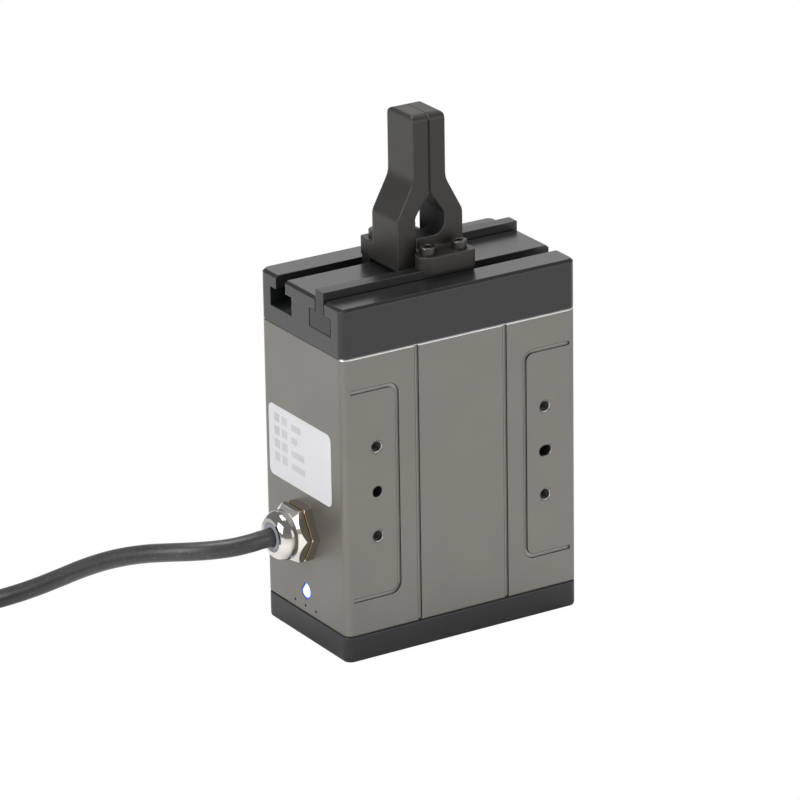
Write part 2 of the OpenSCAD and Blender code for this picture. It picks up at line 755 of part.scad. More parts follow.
module gearhead_case() {
    shaft_play = 0.05;
    color([0.55, 0.55, 0.56]) difference() {
        union() {
            translate([0, 0, gearhead_z]) cylinder(d = motor_d, h = gearhead_l);
            translate([0, 0, plate_z - eps]) cylinder(d = pilot_d - 0.1, h = pilot_h - 0.1);
            translate([0, 0, gearhead_z + gearhead_l - case_rim_h]) cylinder(d = motor_d, h = case_rim_h);
        }
        translate([0, 0, plate_z - shaft_depth])
            cylinder(d = shaft_d + 2 * shaft_play, h = shaft_depth + pilot_h + 5, $fn = 48);
        translate([0, 0, gearhead_z - 1]) cylinder(d = rotor_d + 2 * shaft_play, h = rotor_end + 1, $fn = 48);
        for (a = [45:90:315]) rotate(a) translate([gearhead_pcd_r, 0, plate_z - 6])
            cylinder(d = M3[0], h = 7, $fn = 32);
        for (dz = [4, gearhead_l - 8]) translate([0, 0, gearhead_z + dz]) rotate_extrude()
            translate([motor_d / 2, 0]) circle(0.5, $fn = 24);
    }
}

// ================= motor =================

bearing_t = 4;
bearing_ro = 6.5;
magnet_r = 9;
bore_r = magnet_r + 0.4;
slots = 9;

module motor_can() {
    color([0.16, 0.16, 0.17]) difference() {
        translate([0, 0, motor_z + cap_t]) cylinder(d = motor_d, h = motor_l - cap_t);
        translate([0, 0, motor_z]) cylinder(d = motor_d - 2 * can_t, h = motor_l - bearing_t - 1);
        translate([0, 0, motor_z]) cylinder(r = bearing_ro, h = motor_l - 1);
        translate([0, 0, motor_z]) cylinder(d = rotor_d + 1, h = motor_l + 1);
    }
}

module motor_end_cap() {
    spigot = 2;
    color([0.6, 0.6, 0.61]) difference() {
        union() {
            translate([0, 0, motor_z]) cylinder(d = motor_d, h = cap_t);
            translate([0, 0, motor_z]) cylinder(d = motor_d - 2 * can_t - 0.1, h = cap_t + spigot);
        }
        translate([0, 0, motor_z + 1]) cylinder(r = bearing_ro, h = cap_t + spigot);
        translate([0, 0, motor_z - 1]) cylinder(d = rotor_d + 1, h = cap_t + 2);
    }
}

stator_z = motor_z + cap_t + winding_room;
stator_l = motor_l - cap_t - winding_room - lead_room;

module stator_core() {
    ring_r = motor_d / 2 - can_t - 2.6;
    tooth_w = 2.6;
    color([0.5, 0.5, 0.52]) translate([0, 0, stator_z]) linear_extrude(stator_l) difference() {
        union() {
            difference() {
                circle(d = motor_d - 2 * can_t - 0.04);
                circle(ring_r);
            }
            for (k = [0:slots - 1]) rotate(360 * k / slots) {
                translate([bore_r, -tooth_w / 2]) square([ring_r - bore_r + 0.5, tooth_w]);
                intersection() {
                    difference() {
                        circle(bore_r + 1.2);
                        circle(bore_r - 1);
                    }
                    translate([0, -2.6]) square([bore_r + 2, 5.2]);
                }
            }
        }
        circle(bore_r);
    }
}

module stator_windings() {
    r0 = bore_r + 1.3;
    r1 = motor_d / 2 - can_t - 2.95;
    inner_w = 2.7;
    coil_t = 1.2;
    over = 2.5;
    color([0.72, 0.4, 0.2]) for (k = [0:slots - 1]) rotate(360 * k / slots) difference() {
        translate([r0, -inner_w / 2 - coil_t, stator_z - over])
            cube([r1 - r0, inner_w + 2 * coil_t, stator_l + 2 * over]);
        translate([r0 - 1, -inner_w / 2, stator_z - 0.05]) cube([r1 - r0 + 2, inner_w, stator_l + 0.1]);
    }
}

module rotor_shaft() {
    up = 6;
    down = 2;
    color([0.75, 0.75, 0.76]) translate([0, 0, motor_z - down])
        cylinder(d = rotor_d, h = motor_l + up + down, $fn = 48);
}

module rotor_magnet() {
    color([0.25, 0.25, 0.27]) difference() {
        translate([0, 0, stator_z - 1]) cylinder(r = magnet_r, h = stator_l + 2);
        translate([0, 0, stator_z - 2]) cylinder(d = rotor_d, h = stator_l + 4, $fn = 48);
    }
}

module rotor_bearings() {
    color("silver") for (z = [motor_z + 1, motor_z + motor_l - 1 - bearing_t]) difference() {
        translate([0, 0, z]) cylinder(r = bearing_ro, h = bearing_t);
        translate([0, 0, z - 1]) cylinder(d = rotor_d + 2 * ring_gap, h = bearing_t + 2, $fn = 48);
    }
}

module encoder_magnet() {
    color([0.3, 0.3, 0.32]) translate([0, 0, motor_z - 3.5]) cylinder(d = rotor_d + 1, h = 1.5, $fn = 48);
}

encoder_board_z = motor_z - encoder_gap - board_t;
encoder_spacer_r = 10.5;

module encoder_board() {
    chip = [4, 4, 0.2];
    color([0.05, 0.3, 0.15]) {
        translate([0, 0, encoder_board_z]) cylinder(r = encoder_board_r, h = board_t);
        translate([-chip[0] / 2, -chip[1] / 2, encoder_board_z + board_t - eps]) cube(chip);
    }
}

module encoder_spacers() {
    color([0.8, 0.78, 0.6]) for (a = [0:120:240]) rotate(a)
        translate([encoder_spacer_r, 0, encoder_board_z + board_t]) cylinder(r = 1.6, h = encoder_gap, $fn = 24);
}

// ================= boards =================

function board_holes() = [for (sy = [-1, 1], z = [board_z0 + board_hole_in, board_z0 + board_h - board_hole_in])
    [sy * (board_w / 2 - board_hole_in), z]];

module control_board() {
    color([0.05, 0.3, 0.15]) difference() {
        translate([board_x, -board_w / 2, board_z0]) cube([board_t, board_w, board_h]);
        for (h = board_holes()) translate([board_x - 1, h[0], h[1]]) rotate([0, 90, 0])
            cylinder(d = M2[4], h = board_t + 2, $fn = 24);
    }
}

module board_standoffs() {
    color([0.8, 0.72, 0.4]) for (h = board_holes()) translate([board_x + board_t, h[0], h[1]])
        rotate([0, 90, 0]) difference() {
            cylinder(d = 4.5, h = standoff_l, $fn = 6);
            translate([0, 0, -1]) cylinder(d = M2[0], h = 6, $fn = 24);
        }
}

module board_screws() {
    color([0.7, 0.7, 0.7]) for (h = board_holes()) translate([board_x, h[0], h[1]]) rotate([0, -90, 0])
        cap_screw(M2, board_t + 4);
}

module board_chips() {
    out = chip_w + 2;
    near = chip_w + 1;
    color([0.08, 0.08, 0.09]) for (c = [[-out, 0.3], [out, 0.3], [0, 0.45], [-near, 0.62], [near, 0.62]])
        translate([board_x - chip_t, c[0] - chip_w / 2, board_z0 + c[1] * board_h])
            cube([chip_t, chip_w, chip_w]);
}

module board_capacitors() {
    color([0.2, 0.2, 0.3]) for (y = [-1, 1] * capacitor_y) translate([board_x, y, board_z0 + board_h * 0.85])
        rotate([0, -90, 0]) cylinder(d = capacitor_d, h = capacitor_h, $fn = 40);
}

terminal_x = board_x - 8;
terminal_z = board_z0 + 3;
terminal_pitch = 3.8;

module terminal_block() {
    color([0.1, 0.4, 0.2]) difference() {
        translate([terminal_x, -2 * terminal_pitch, terminal_z]) cube([8, 4 * terminal_pitch, 8]);
        for (k = [0:3]) translate([terminal_x + 4, (k - 1.5) * terminal_pitch, terminal_z + 5])
            cylinder(d = 2.4, h = 4, $fn = 24);
    }
}

// ================= status light =================

module status_lens() {
    z_lens = lens_z;
    color([0.8, 0.88, 1]) {
        translate([gland_x + lens_recess, gland_y, z_lens]) rotate([90, 0, 90])
            linear_extrude(wall_end - lens_recess + eps) lens_outline(0);
        translate([gland_x + wall_end, gland_y, z_lens]) rotate([0, 90, 0])
            cylinder(r = lens_flange_r, h = lens_flange_t);
    }
}

module status_led() {
    color([0.9, 0.95, 1]) translate([gland_x + wall_end + lens_flange_t, gland_y - 1.5, lens_z - 1.5])
        cube([led_t, 3, 3]);
}

module led_board() {
    color([0.05, 0.3, 0.15]) translate([gland_x + wall_end + lens_flange_t + led_t, gland_y - 6, lens_z - 6])
        cube([led_board_t, 12, 12]);
}

// ================= gland =================

module gland_body() {
    thread_in = wall_end + locknut_t + 1.5;
    color([0.82, 0.8, 0.76]) out_of_end(gland_x, gland_y, gland_z) difference() {
        union() {
            intersection() {
                hex_prism(gland_af, hex_t);
                cylinder(d1 = gland_af / cos(30) * 1.3, d2 = gland_af * 1.1, h = hex_t);
            }
            translate([0, 0, -thread_in]) cylinder(d = gland_thread_d, h = thread_in + eps);
            translate([0, 0, hex_t - eps]) cylinder(d = spigot_d, h = spigot_l);
        }
        translate([0, 0, -thread_in - 1]) cylinder(r = gland_bore_r, h = thread_in + hex_t + spigot_l + 2);
    }
}

// The domed nut: hexagon behind, cone and neck, then a turned dome, open at the nose
module gland_nut() {
    z0 = hex_t + hex_gap;
    vertex_r = gland_af / 2 / cos(30);
    cone_r0 = vertex_r + 0.2;
    cone_r1 = neck_r - 0.4;
    cone_z = nut_hex_t * 0.42;
    color([0.85, 0.83, 0.8]) out_of_end(gland_x, gland_y, gland_z) difference() {
        union() {
            translate([0, 0, z0]) intersection() {
                hex_prism(gland_af, nut_hex_t + 3);
                rotate_extrude($fn = 72) polygon([
                    [0, -1], [cone_r0, -1], [cone_r0, cone_z], [cone_r1, cone_z + cone_slope * (cone_r0 - cone_r1)],
                    [0, cone_z + cone_slope * (cone_r0 - cone_r1)]]);
            }
            rotate_extrude($fn = 96) dome_outline(z0 + 1);
        }
        translate([0, 0, z0 - 1]) cylinder(d = spigot_d + 0.2, h = spigot_l - hex_gap + 1.3);
        translate([0, 0, z0 - 1]) cylinder(r = nose_r - 0.6, h = dome_l + 2);
    }
}

// Half section of the dome from height z_from: a neck and a large round ball
module dome_outline(z_from) {
    z_nose = hex_t + hex_gap + dome_l - 0.1;
    ball = 5.2;
    ball_r = gland_af / 2 - 0.6;
    z_ball = z_nose - ball * 0.82;
    translate([0, z_from]) square([neck_r, z_ball - z_from]);
    intersection() {
        translate([ball_r - ball, z_ball]) circle(ball, $fn = 96);
        translate([0, z_from]) square([ball_r + 1, z_nose - z_from]);
    }
}

module gland_seal() {
    z0 = hex_t + spigot_l + 0.3;
    z1 = hex_t + hex_gap + dome_l;
    color([0.5, 0.53, 0.6]) out_of_end(gland_x, gland_y, gland_z) difference() {
        translate([0, 0, z0]) cylinder(r = nose_r - 0.65, h = z1 - z0);
        translate([0, 0, z0 - 1]) cylinder(r = cable_r, h = z1 - z0 + 2, $fn = 48);
        translate([0, 0, z1 - 0.5]) cylinder(r1 = cable_r, r2 = cable_r + 0.5, h = 0.5 + eps, $fn = 48);
    }
}

module gland_locknut() {
    color([0.8, 0.78, 0.74]) out_of_end(gland_x + wall_end + locknut_t, gland_y, gland_z) difference() {
        hex_prism(gland_af, locknut_t);
        translate([0, 0, -1]) cylinder(d = gland_thread_d, h = locknut_t + 2);
    }
}

// ================= cable =================

inner_end_x = gland_x + 16;

module inner_cable() {
    color([0.13, 0.13, 0.14]) out_of_end(inner_end_x, gland_y, gland_z)
        cylinder(r = cable_r, h = inner_end_x - cable_exit_x, $fn = 48);
}

// Four cores from the jacket's end, under the motor, to the terminal block
module inner_leads() {
    low_z = z_housing + 3;
    for (k = [0:3]) {
        s = k - 1.5;
        y_run = s * terminal_pitch;
        z_in = terminal_z + 3;
        color([0.3, 0.3, 0.5]) tube([
            [inner_end_x, gland_y + s * 1.4, gland_z], [inner_end_x + 2.5, gland_y + s * 1.6, gland_z - 1],
            [inner_end_x + 4.5, y_run * 0.7, gland_z - 5], [inner_end_x + 5.5, y_run, gland_z - 12],
            [inner_end_x + 6.5, y_run, low_z + 8], [inner_end_x + 9, y_run, low_z + 3],
            [inner_end_x + 14, y_run, low_z], [0, y_run, low_z], [terminal_x - 12, y_run, low_z],
            [terminal_x - 6, y_run, low_z + 3], [terminal_x - 3, y_run, z_in - 2.5],
            [terminal_x - 1.4, y_run, z_in - 0.3], [terminal_x, y_run, z_in]], core_d / 2, 8);
    }
}

module cable() { color([0.13, 0.13, 0.14]) tube(cable_route, cable_r, 12); }
module cable_tail() { color([0.13, 0.13, 0.14]) tube(tail_route, cable_r, 12); }

module cable_coil() {
    w = coil_across * cable_d;
    h = coil_up * cable_d;
    bulge = cable_r * 0.9;
    color([0.13, 0.13, 0.14]) translate([coil_at[0], coil_at[1], 0]) rotate_extrude($fn = 96)
        translate([coil_mean_r, h / 2]) round_rect(w, h, bulge);
}

module coil_ties() {
    w = coil_across * cable_d;
    h = coil_up * cable_d;
    t = 0.8;
    band = 4;
    color([0.1, 0.1, 0.1]) for (a = [20, 140, 260]) translate([coil_at[0], coil_at[1], 0]) rotate(a)
        translate([coil_mean_r, -band / 2, 0]) difference() {
            translate([-w / 2 - t, 0, 0]) cube([w + 2 * t, band, h + t]);
            translate([-w / 2 - 0.02, -1, -1]) cube([w + 0.04, band + 2, h + 1.02]);
        }
}

// ---- far end: four cores with ferrules ----
lead_from = tail_route[len(tail_route) - 1];

// One core, k counted from the left, spread flat on the floor
module lead(k) {
    s = k - 1.5;
    up = (k == 0 || k == 3) ? 0 : core_d * 1.6;
    start = lead_from + [s * core_offset, 0, -0.6 + up];
    out = [s * 3.6, -lead_l, 0];
    floor_z = core_d / 2 + 0.02;
    tube([
        start, start + [0.1 * out[0], 0.12 * out[1], 0],
        [start[0] + 0.35 * out[0], start[1] + 0.35 * out[1], max(floor_z, start[2] * 0.7)],
        [start[0] + 0.6 * out[0], start[1] + 0.62 * out[1], max(floor_z, start[2] * 0.35)],
        [start[0] + 0.85 * out[0], start[1] + 0.85 * out[1], floor_z],
        [start[0] + out[0], start[1] + out[1], floor_z]], core_d / 2, 8);
}

function lead_end(k) = lead_from + [(k - 1.5) * (core_offset + 3.6), -lead_l, core_d / 2 + 0.02 - lead_from[2]];

module lead_brown() { color([0.35, 0.18, 0.08]) lead(0); }
module lead_blue() { color([0.1, 0.25, 0.7]) lead(1); }
module lead_white() { color([0.9, 0.9, 0.9]) lead(2); }
module lead_black() { color([0.08, 0.08, 0.08]) lead(3); }

module lead_ferrules() {
    color([0.8, 0.8, 0.8]) for (k = [0:3]) translate(lead_end(k)) rotate([90, 0, 0])
        cylinder(d = core_d - 0.2, h = ferrule_l, $fn = 24);
}

housing();
base_plate();
base_gasket();
tie_screws();
guide_block();
front_slider();
back_slider();
front_finger();
back_finger();
front_finger_screws();
back_finger_screws();
pinion();
pinion_key();
output_shaft();
lower_bearing_outer();
lower_bearing_inner();
lower_bearing_balls();
upper_bearing_outer();
upper_bearing_inner();
upper_bearing_balls();
motor_plate();
motor_plate_screws();
gearhead_case();
gearhead_screws();
motor_can();
stator_core();
stator_windings();
motor_end_cap();
rotor_shaft();
rotor_magnet();
rotor_bearings();
encoder_magnet();
encoder_board();
encoder_spacers();
control_board();
board_standoffs();
board_screws();
board_chips();
board_capacitors();
terminal_block();
status_lens();
status_led();
led_board();
gland_body();
gland_nut();
gland_seal();
gland_locknut();
inner_cable();
inner_leads();
cable();
cable_coil();
coil_ties();
cable_tail();
lead_brown();
lead_blue();
lead_white();
lead_black();
lead_ferrules();
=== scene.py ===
"""Looks of the electric two finger gripper: materials, label, status light, cable, light and camera."""

import math

import bpy
from mathutils import Matrix, Vector


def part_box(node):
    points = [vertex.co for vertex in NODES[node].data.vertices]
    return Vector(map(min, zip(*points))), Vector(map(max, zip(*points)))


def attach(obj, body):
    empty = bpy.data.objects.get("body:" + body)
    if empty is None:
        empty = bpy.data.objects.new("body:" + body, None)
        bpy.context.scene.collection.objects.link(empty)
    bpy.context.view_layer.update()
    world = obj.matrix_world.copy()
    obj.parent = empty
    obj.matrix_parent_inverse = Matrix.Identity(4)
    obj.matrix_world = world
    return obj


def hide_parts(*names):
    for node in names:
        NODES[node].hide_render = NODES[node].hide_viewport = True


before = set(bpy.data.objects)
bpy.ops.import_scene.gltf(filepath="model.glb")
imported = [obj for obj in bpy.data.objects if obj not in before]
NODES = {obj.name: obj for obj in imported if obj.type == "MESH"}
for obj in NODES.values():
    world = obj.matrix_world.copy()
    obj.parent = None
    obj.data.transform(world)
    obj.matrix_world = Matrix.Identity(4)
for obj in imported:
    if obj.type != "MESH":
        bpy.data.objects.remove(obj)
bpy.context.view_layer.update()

# ---- camera: angles in degrees, lens and sensor in millimetres, all else in metres ----
CAMERA_AZIMUTH = -31.634
CAMERA_ELEVATION = 20.932
CAMERA_ROLL = -0.911
CAMERA_DISTANCE = 1.8961
CAMERA_AIM = (-0.0043, 0.0062, 0.0777)
CAMERA_LENS = 244.94
SENSOR_WIDTH = 36.0
CAMERA_REACH = 50

# ---- light: name, place, width and watts of each square lamp ----
LAMPS = (
    ("key", (-1.7, -0.3, 1.1), 1.25, 25),
    ("front_fill", (0.9, -1.9, 0.7), 1.2, 9),
    ("top", (0.1, 0.3, 1.7), 0.9, 17),
    ("rear", (0.9, 1.5, 0.75), 1.0, 2.3),
)
LAMP_AIM = (0, 0, 0.09)
SKY_LIGHT = 0.36
FLOOR_SIZE = 12.0
FLOOR_GREY = 0.9

# ---- cable ----
CABLE_DIAMETER = 0.0065
COIL_CENTRE = (-0.192, 0.062)
COIL_MEAN_RADIUS = 0.035
TURNS_PER_LAYER = 3
COIL_LAYERS = 2
STEPS_PER_TURN = 36
LANE_CHANGE_START = 0.66
CABLE_ROUTE = [
    (-0.0608, 0.0008, 0.0408), (-0.0645, 0.0008, 0.0408), (-0.0683, 0.0009, 0.0405),
    (-0.075, 0.0022, 0.0399), (-0.082, 0.0052, 0.0394), (-0.088, 0.010, 0.0386),
    (-0.093, 0.016, 0.0374), (-0.0975, 0.023, 0.0356), (-0.102, 0.0305, 0.033),
    (-0.1065, 0.038, 0.0296), (-0.111, 0.0455, 0.0254), (-0.1155, 0.053, 0.0206),
    (-0.1205, 0.0605, 0.0158), (-0.126, 0.068, 0.0114), (-0.1325, 0.075, 0.0078),
    (-0.140, 0.0815, 0.0052), (-0.1485, 0.087, 0.0038), (-0.1575, 0.0916, 0.0033),
    (-0.166, 0.0955, 0.0033), (-0.1734, 0.0991, 0.0033),
]
TAIL_ROUTE = [
    (-0.2335, 0.062, 0.0097), (-0.2335, 0.054, 0.0096), (-0.2334, 0.046, 0.0087),
    (-0.2332, 0.038, 0.007), (-0.2328, 0.030, 0.0051), (-0.2322, 0.022, 0.0038),
    (-0.2312, 0.014, 0.0033), (-0.230, 0.006, 0.0033),
]

# ---- gland seal ----
SEAL_RADIUS = 0.0048
SEAL_LIP_RADIUS = 0.0054
SEAL_CLEAR = 0.0001
MOUTH_CHAMFER = (0.0002, 0.0003)
LIP_CHAMFER = (0.0003, 0.0001)
LIP_EDGE = 0.00003
LIP_GAP = 0.00002
SEAL_SIDES = 96

# ---- label on the end face ----
LABEL_Y = (-0.0185, 0.0229)
LABEL_Z = (0.055, 0.0815)
LABEL_CORNER = 0.0025
LABEL_PROUD = 0.0001
INK_PROUD = 0.00002

# ---- grey bars: gaps and heights of the three columns, widths of each row, pitch of the rows ----
BAR_LEFT = (0.0038, 0.0088, 0.0150)
BAR_TOP = (0.0028, 0.0028, 0.0038)
BAR_HEIGHT = (0.0032, 0.0032, 0.0024)
BAR_WIDTHS = ((0.0034, 0.0036, 0.0064), (0.0034, 0.0036, 0.0040),
              (0.0034, 0.0036, 0.0086), (0.0034, 0.0036, 0.0088))
BAR_PITCH = 0.00485
BAR_CORNER = 0.0003
BAR_CORNER_STEPS = 3

# ---- colours ----
HOUSING_GREY = (0.215, 0.205, 0.185)
BLOCK_BLACK = (0.0135, 0.0135, 0.0135)
BASE_BLACK = (0.0165, 0.0165, 0.0172)
FINGER_BROWN = (0.036, 0.0335, 0.031)
SLIDER_STEEL = (0.035, 0.034, 0.033)
SCREW_BLACK = (0.07, 0.068, 0.066)
# painted highlight on the screws' rims
SCREW_RIM_HIGHLIGHT = (0.42, 0.41, 0.40)
# painted highlights along the edges of the black parts and the fingers
EDGE_HIGHLIGHT_BLACK = (0.10, 0.10, 0.10)
EDGE_HIGHLIGHT_FINGER = (0.085, 0.08, 0.075)
BARE_METAL = (0.95, 0.94, 0.92)
# painted shade deeper in the housing's holes
HOLE_SHADE = (0.10, 0.098, 0.094)
# painted shade on the grooves' rims and walls, painted light on their floors
GROOVE_RIM_SHADE = (0.05, 0.048, 0.044)
GROOVE_WALL_SHADE = (0.06, 0.057, 0.052)
GROOVE_FLOOR_LIGHT = (0.32, 0.308, 0.28)
# painted shade for the pinholes, tee slots, slider gap lines, the finger's window and its jaw line
SHADE_BLACK = (0.003, 0.005, 0.0045)
SHADE_BROWN = (0.012, 0.0115, 0.011)
NICKEL = (0.78, 0.745, 0.69)
# painted darker reflections on the gland's front flats and its dome
FLAT_REFLECTION_NICKEL = (0.42, 0.385, 0.33)
DOME_REFLECTION_NICKEL = (0.38, 0.37, 0.35)
BRONZE = (0.62, 0.42, 0.2)
JACKET = (0.036, 0.036, 0.037)
JACKET_SCUFF = (0.09, 0.09, 0.09)
LED_WHITE = (0.9, 0.95, 1.0)
LED_POWER = (2.7, 3.3)
LED_CLOUD_SCALE = 900

# ---- what all finishes share ----
NOISE_LOW = 0.3
NOISE_HIGH = 0.7
CLOUD_SCALE = 60
ROUGH_SWING = 0.04
GRAIN_DEPTH = 0.00005
COAT_ROUGH = 0.15
BARE_ROUGH = 0.25
HOLLOW_ROUGH = 0.6
BEVEL_SAMPLES = 6
INPUT_NAMES = {"colour": "Base Color", "rough": "Roughness", "metallic": "Metallic",
               "coat": "Coat Weight"}
SLOPE = 0.0001
FINE_SLOPE = 0.00005

# ---- painted edge highlight: cosines of the angle to the true normal, where it starts and where it is full ----
EDGE_HIGHLIGHT_FROM = 0.985
EDGE_HIGHLIGHT_FULL = 0.90

# ---- housing: holes of the front face ----
HOLE_X = 0.0343
HOLE_MID_Z = 0.0611
HOLE_PITCH_Z = 0.01645
HOLE_RIM = (0.0030, 0.0028)
HOLE_DEEP = 0.009
HOLE_SKIN = 0.00002
HOLE_SKIN_STEP = 0.00003
HOLE_WALL_DEPTH = (0.0004, 0.0009)
THREAD_PITCH = 0.0007
THREAD_DEPTH = 0.0003

# ---- housing: grooves with painted shade and light, flat part of the broad faces, bare top edge ----
FACE_CORNER = 0.0030
FACE_ENDS = 0.0006
GROOVE_DEPTH = 0.0008
GROOVE_SKIN = 0.00004
GROOVE_FLOOR_SKIN = 0.00006
GROOVE_FLOOR_STEP = 0.00002
GROOVE_RIM = 0.00042
GROOVE_RIM_DEPTH = (0.00006, 0.00003)
RIM_TURN = (0.04, 0.22)
RIM_SAMPLES = 8
TOP_EDGE = 0.0005
TOP_EDGE_STEP = 0.00004
TOP_EDGE_INSET = (0.0030, 0.0015)

# ---- housing: pinholes of the end face, with painted shade in and round them ----
PINHOLE_MIDDLE = (0.0008, 0.0122)
PINHOLE_PITCH = 0.0069
PINHOLE_RADIUS = 0.0005
PINHOLE_STEP = 0.00004
PINHOLE_DEEP = 0.0055

# ---- guide block: how far inside its faces the slots' painted shade starts and is full ----
SLOT_INSET_X = (0.0001, 0.0004)
SLOT_INSET_Y = (0.0030, 0.0032)
SLOT_INSET_Z = (0.0006, 0.0016)

# ---- sliders: lines of painted shade at the gaps on their end faces ----
SLOT_LIP_Z = 0.1244
SLIDER_END_INSET = (0.0002, 0.0001)
GAP_LINE = 0.00044
GAP_LINE_STEP = 0.00006

# ---- fingers: window and the line where the jaws meet, both with painted shade ----
WINDOW_HALF = 0.0063
WINDOW_Z = (0.1335, 0.1585)
WINDOW_STEP_Z = 0.0004
JAW_FACE_Y = 0.0082
JAW_FACE_INSET = (0.0001, 0.0008)
JAW_LINE_HALF = (0.00054, 0.00046)
JAW_LINE_Z = (0.1575, 0.1832)
JAW_LINE_STEP_Z = 0.0003

# ---- gland: dome and flats that look to the front, with painted darker reflections, bronze line at the gap between the hexagons ----
DOME_END = -0.0546
DOME_STEP = 0.0012
DOME_MIDDLE = (0.0400, 0.0445)
FLAT_FRONT = (-0.25, -0.6)
FLAT_LEVEL = (0.3, 0.1)
HEXAGON_GAP = 0.0005
BRONZE_REACH = (0.00055, 0.00030)

# ---- cable jacket ----
SCUFF_SCALE = 1100
SCUFF_RANGE = (0.60, 0.70)
WAVE_SCALE = 260
WAVE_STRENGTH = 0.35
WAVE_DEPTH = 0.0004

# ---- status window: colours and light from its middle to its rim ----
LENS_MIDDLE = (0.0005, 0.0179)
LENS_RADIUS = 0.00305
LENS_RIM = 0.0011
LENS_FLAT = 0.0021
LENS_FLAT_RIM = 0.0010
LENS_FLAT_TURN = math.radians(38)
LENS_COLOURS = (
    (0.0, (0.62, 0.86, 1.0, 1)),
    (0.35, (0.30, 0.55, 1.0, 1)),
    (0.6, (0.06, 0.13, 1.0, 1)),
    (1.0, (0.02, 0.04, 0.75, 1)),
)
LENS_POWER = (2.6, 0.9)

# ---- plain finishes: name, colour, metallic, roughness, colour variation, grain, bump, edge ----
PLAIN_FINISHES = {
    "steel": ("ground_steel", (0.55, 0.55, 0.54), 1.0, 0.25, 0.05, 2500, 0.1, 0.0001),
    "gear": ("gear_steel", (0.42, 0.41, 0.4), 1.0, 0.32, 0.06, 2500, 0.15, 0.0001),
    "bright": ("bright_steel", (0.7, 0.7, 0.7), 1.0, 0.12, 0.03, 1500, 0.03, 0.0001),
    "aluminium": ("plain_aluminium", (0.6, 0.6, 0.6), 1.0, 0.35, 0.04, 2500, 0.15, 0.0002),
    "motor": ("motor_black", (0.03, 0.03, 0.03), 0.3, 0.4, 0.06, 3000, 0.15, 0.0003),
    "copper": ("copper_wire", (0.6, 0.25, 0.1), 1.0, 0.3, 0.1, 3000, 0.3, 0.0002),
    "magnet": ("magnet_grey", (0.12, 0.12, 0.13), 0.9, 0.35, 0.05, 2500, 0.1, 0.0002),
    "circuit": ("circuit_board", (0.02, 0.15, 0.06), 0.0, 0.35, 0.08, 900, 0.1, 0.0001),
    "brass": ("brass_part", (0.7, 0.55, 0.25), 1.0, 0.25, 0.05, 2000, 0.05, 0.0001),
    "chip": ("chip_black", (0.02, 0.02, 0.02), 0.0, 0.5, 0.08, 3000, 0.2, 0.0002),
    "connector": ("connector_green", (0.03, 0.25, 0.08), 0.0, 0.45, 0.05, 2500, 0.1, 0.0002),
    "gland_rubber": ("gland_rubber", (0.26, 0.275, 0.32), 0.0, 0.35, 0.06, 1500, 0.1, 0.0005),
    "rubber": ("seal_rubber", (0.012, 0.012, 0.012), 0.0, 0.7, 0.1, 2500, 0.2, 0.0002),
    "tie": ("tie_black", (0.015, 0.015, 0.015), 0.0, 0.45, 0.08, 2000, 0.1, 0.0004),
    "tinned": ("tinned_copper", (0.6, 0.6, 0.6), 1.0, 0.25, 0.05, 2500, 0.1, 0.0001),
    "brown": ("core_brown", (0.12, 0.04, 0.015), 0.0, 0.4, 0.08, 1500, 0.05, 0.0001),
    "blue": ("core_blue", (0.02, 0.08, 0.4), 0.0, 0.4, 0.08, 1500, 0.05, 0.0001),
    "white": ("core_white", (0.75, 0.75, 0.75), 0.0, 0.4, 0.03, 1500, 0.05, 0.0001),
    "black": ("core_black", (0.02, 0.02, 0.02), 0.0, 0.4, 0.08, 1500, 0.05, 0.0001),
    "label": ("label_paper", (0.64, 0.64, 0.655), 0.0, 0.55, 0.02, 1500, 0.05, 0.0001),
    "ink": ("label_ink", (0.50, 0.50, 0.51), 0.0, 0.6, 0.1, 2500, 0.05, 0.0001),
}

# ---- the nodes that take each finish ----
FINISH_OF = {
    "housing": ["housing"],
    "block": ["guide_block"],
    "base": ["base_plate"],
    "rubber": ["base_gasket"],
    "finger": ["front_finger", "back_finger"],
    "slider": ["front_slider", "back_slider"],
    "screw": ["tie_screws", "front_finger_screws", "back_finger_screws", "motor_plate_screws",
              "gearhead_screws"],
    "steel": ["output_shaft", "lower_bearing_outer", "lower_bearing_inner", "upper_bearing_outer",
              "upper_bearing_inner", "rotor_shaft", "rotor_bearings"],
    "gear": ["pinion", "pinion_key", "gearhead_case", "stator_core"],
    "bright": ["lower_bearing_balls", "upper_bearing_balls", "board_screws"],
    "aluminium": ["motor_plate", "motor_end_cap"],
    "motor": ["motor_can"],
    "copper": ["stator_windings"],
    "magnet": ["rotor_magnet", "encoder_magnet"],
    "circuit": ["encoder_board", "control_board", "led_board"],
    "brass": ["encoder_spacers", "board_standoffs"],
    "chip": ["board_chips", "board_capacitors"],
    "connector": ["terminal_block"],
    "lens": ["status_lens"],
    "led": ["status_led"],
    "nickel": ["gland_body", "gland_nut", "gland_locknut"],
    "jacket": ["inner_cable"],
    "tie": ["coil_ties"],
    "brown": ["lead_brown"],
    "blue": ["lead_blue", "inner_leads"],
    "white": ["lead_white"],
    "black": ["lead_black"],
    "tinned": ["lead_ferrules"],
}


# ================= node helpers =================

def new_material(name):
    """An empty node material with its Principled shader."""
    mat = bpy.data.materials.new(name)
    mat.use_nodes = True
    tree = mat.node_tree
    tree.nodes.clear()
    out = tree.nodes.new("ShaderNodeOutputMaterial")
    shader = tree.nodes.new("ShaderNodeBsdfPrincipled")
    tree.links.new(shader.outputs["BSDF"], out.inputs["Surface"])
    return mat, tree, shader


def parts_of(mat):
    """A material's tree and its Principled shader."""
    tree = mat.node_tree
    return tree, next(n for n in tree.nodes if n.type == "BSDF_PRINCIPLED")


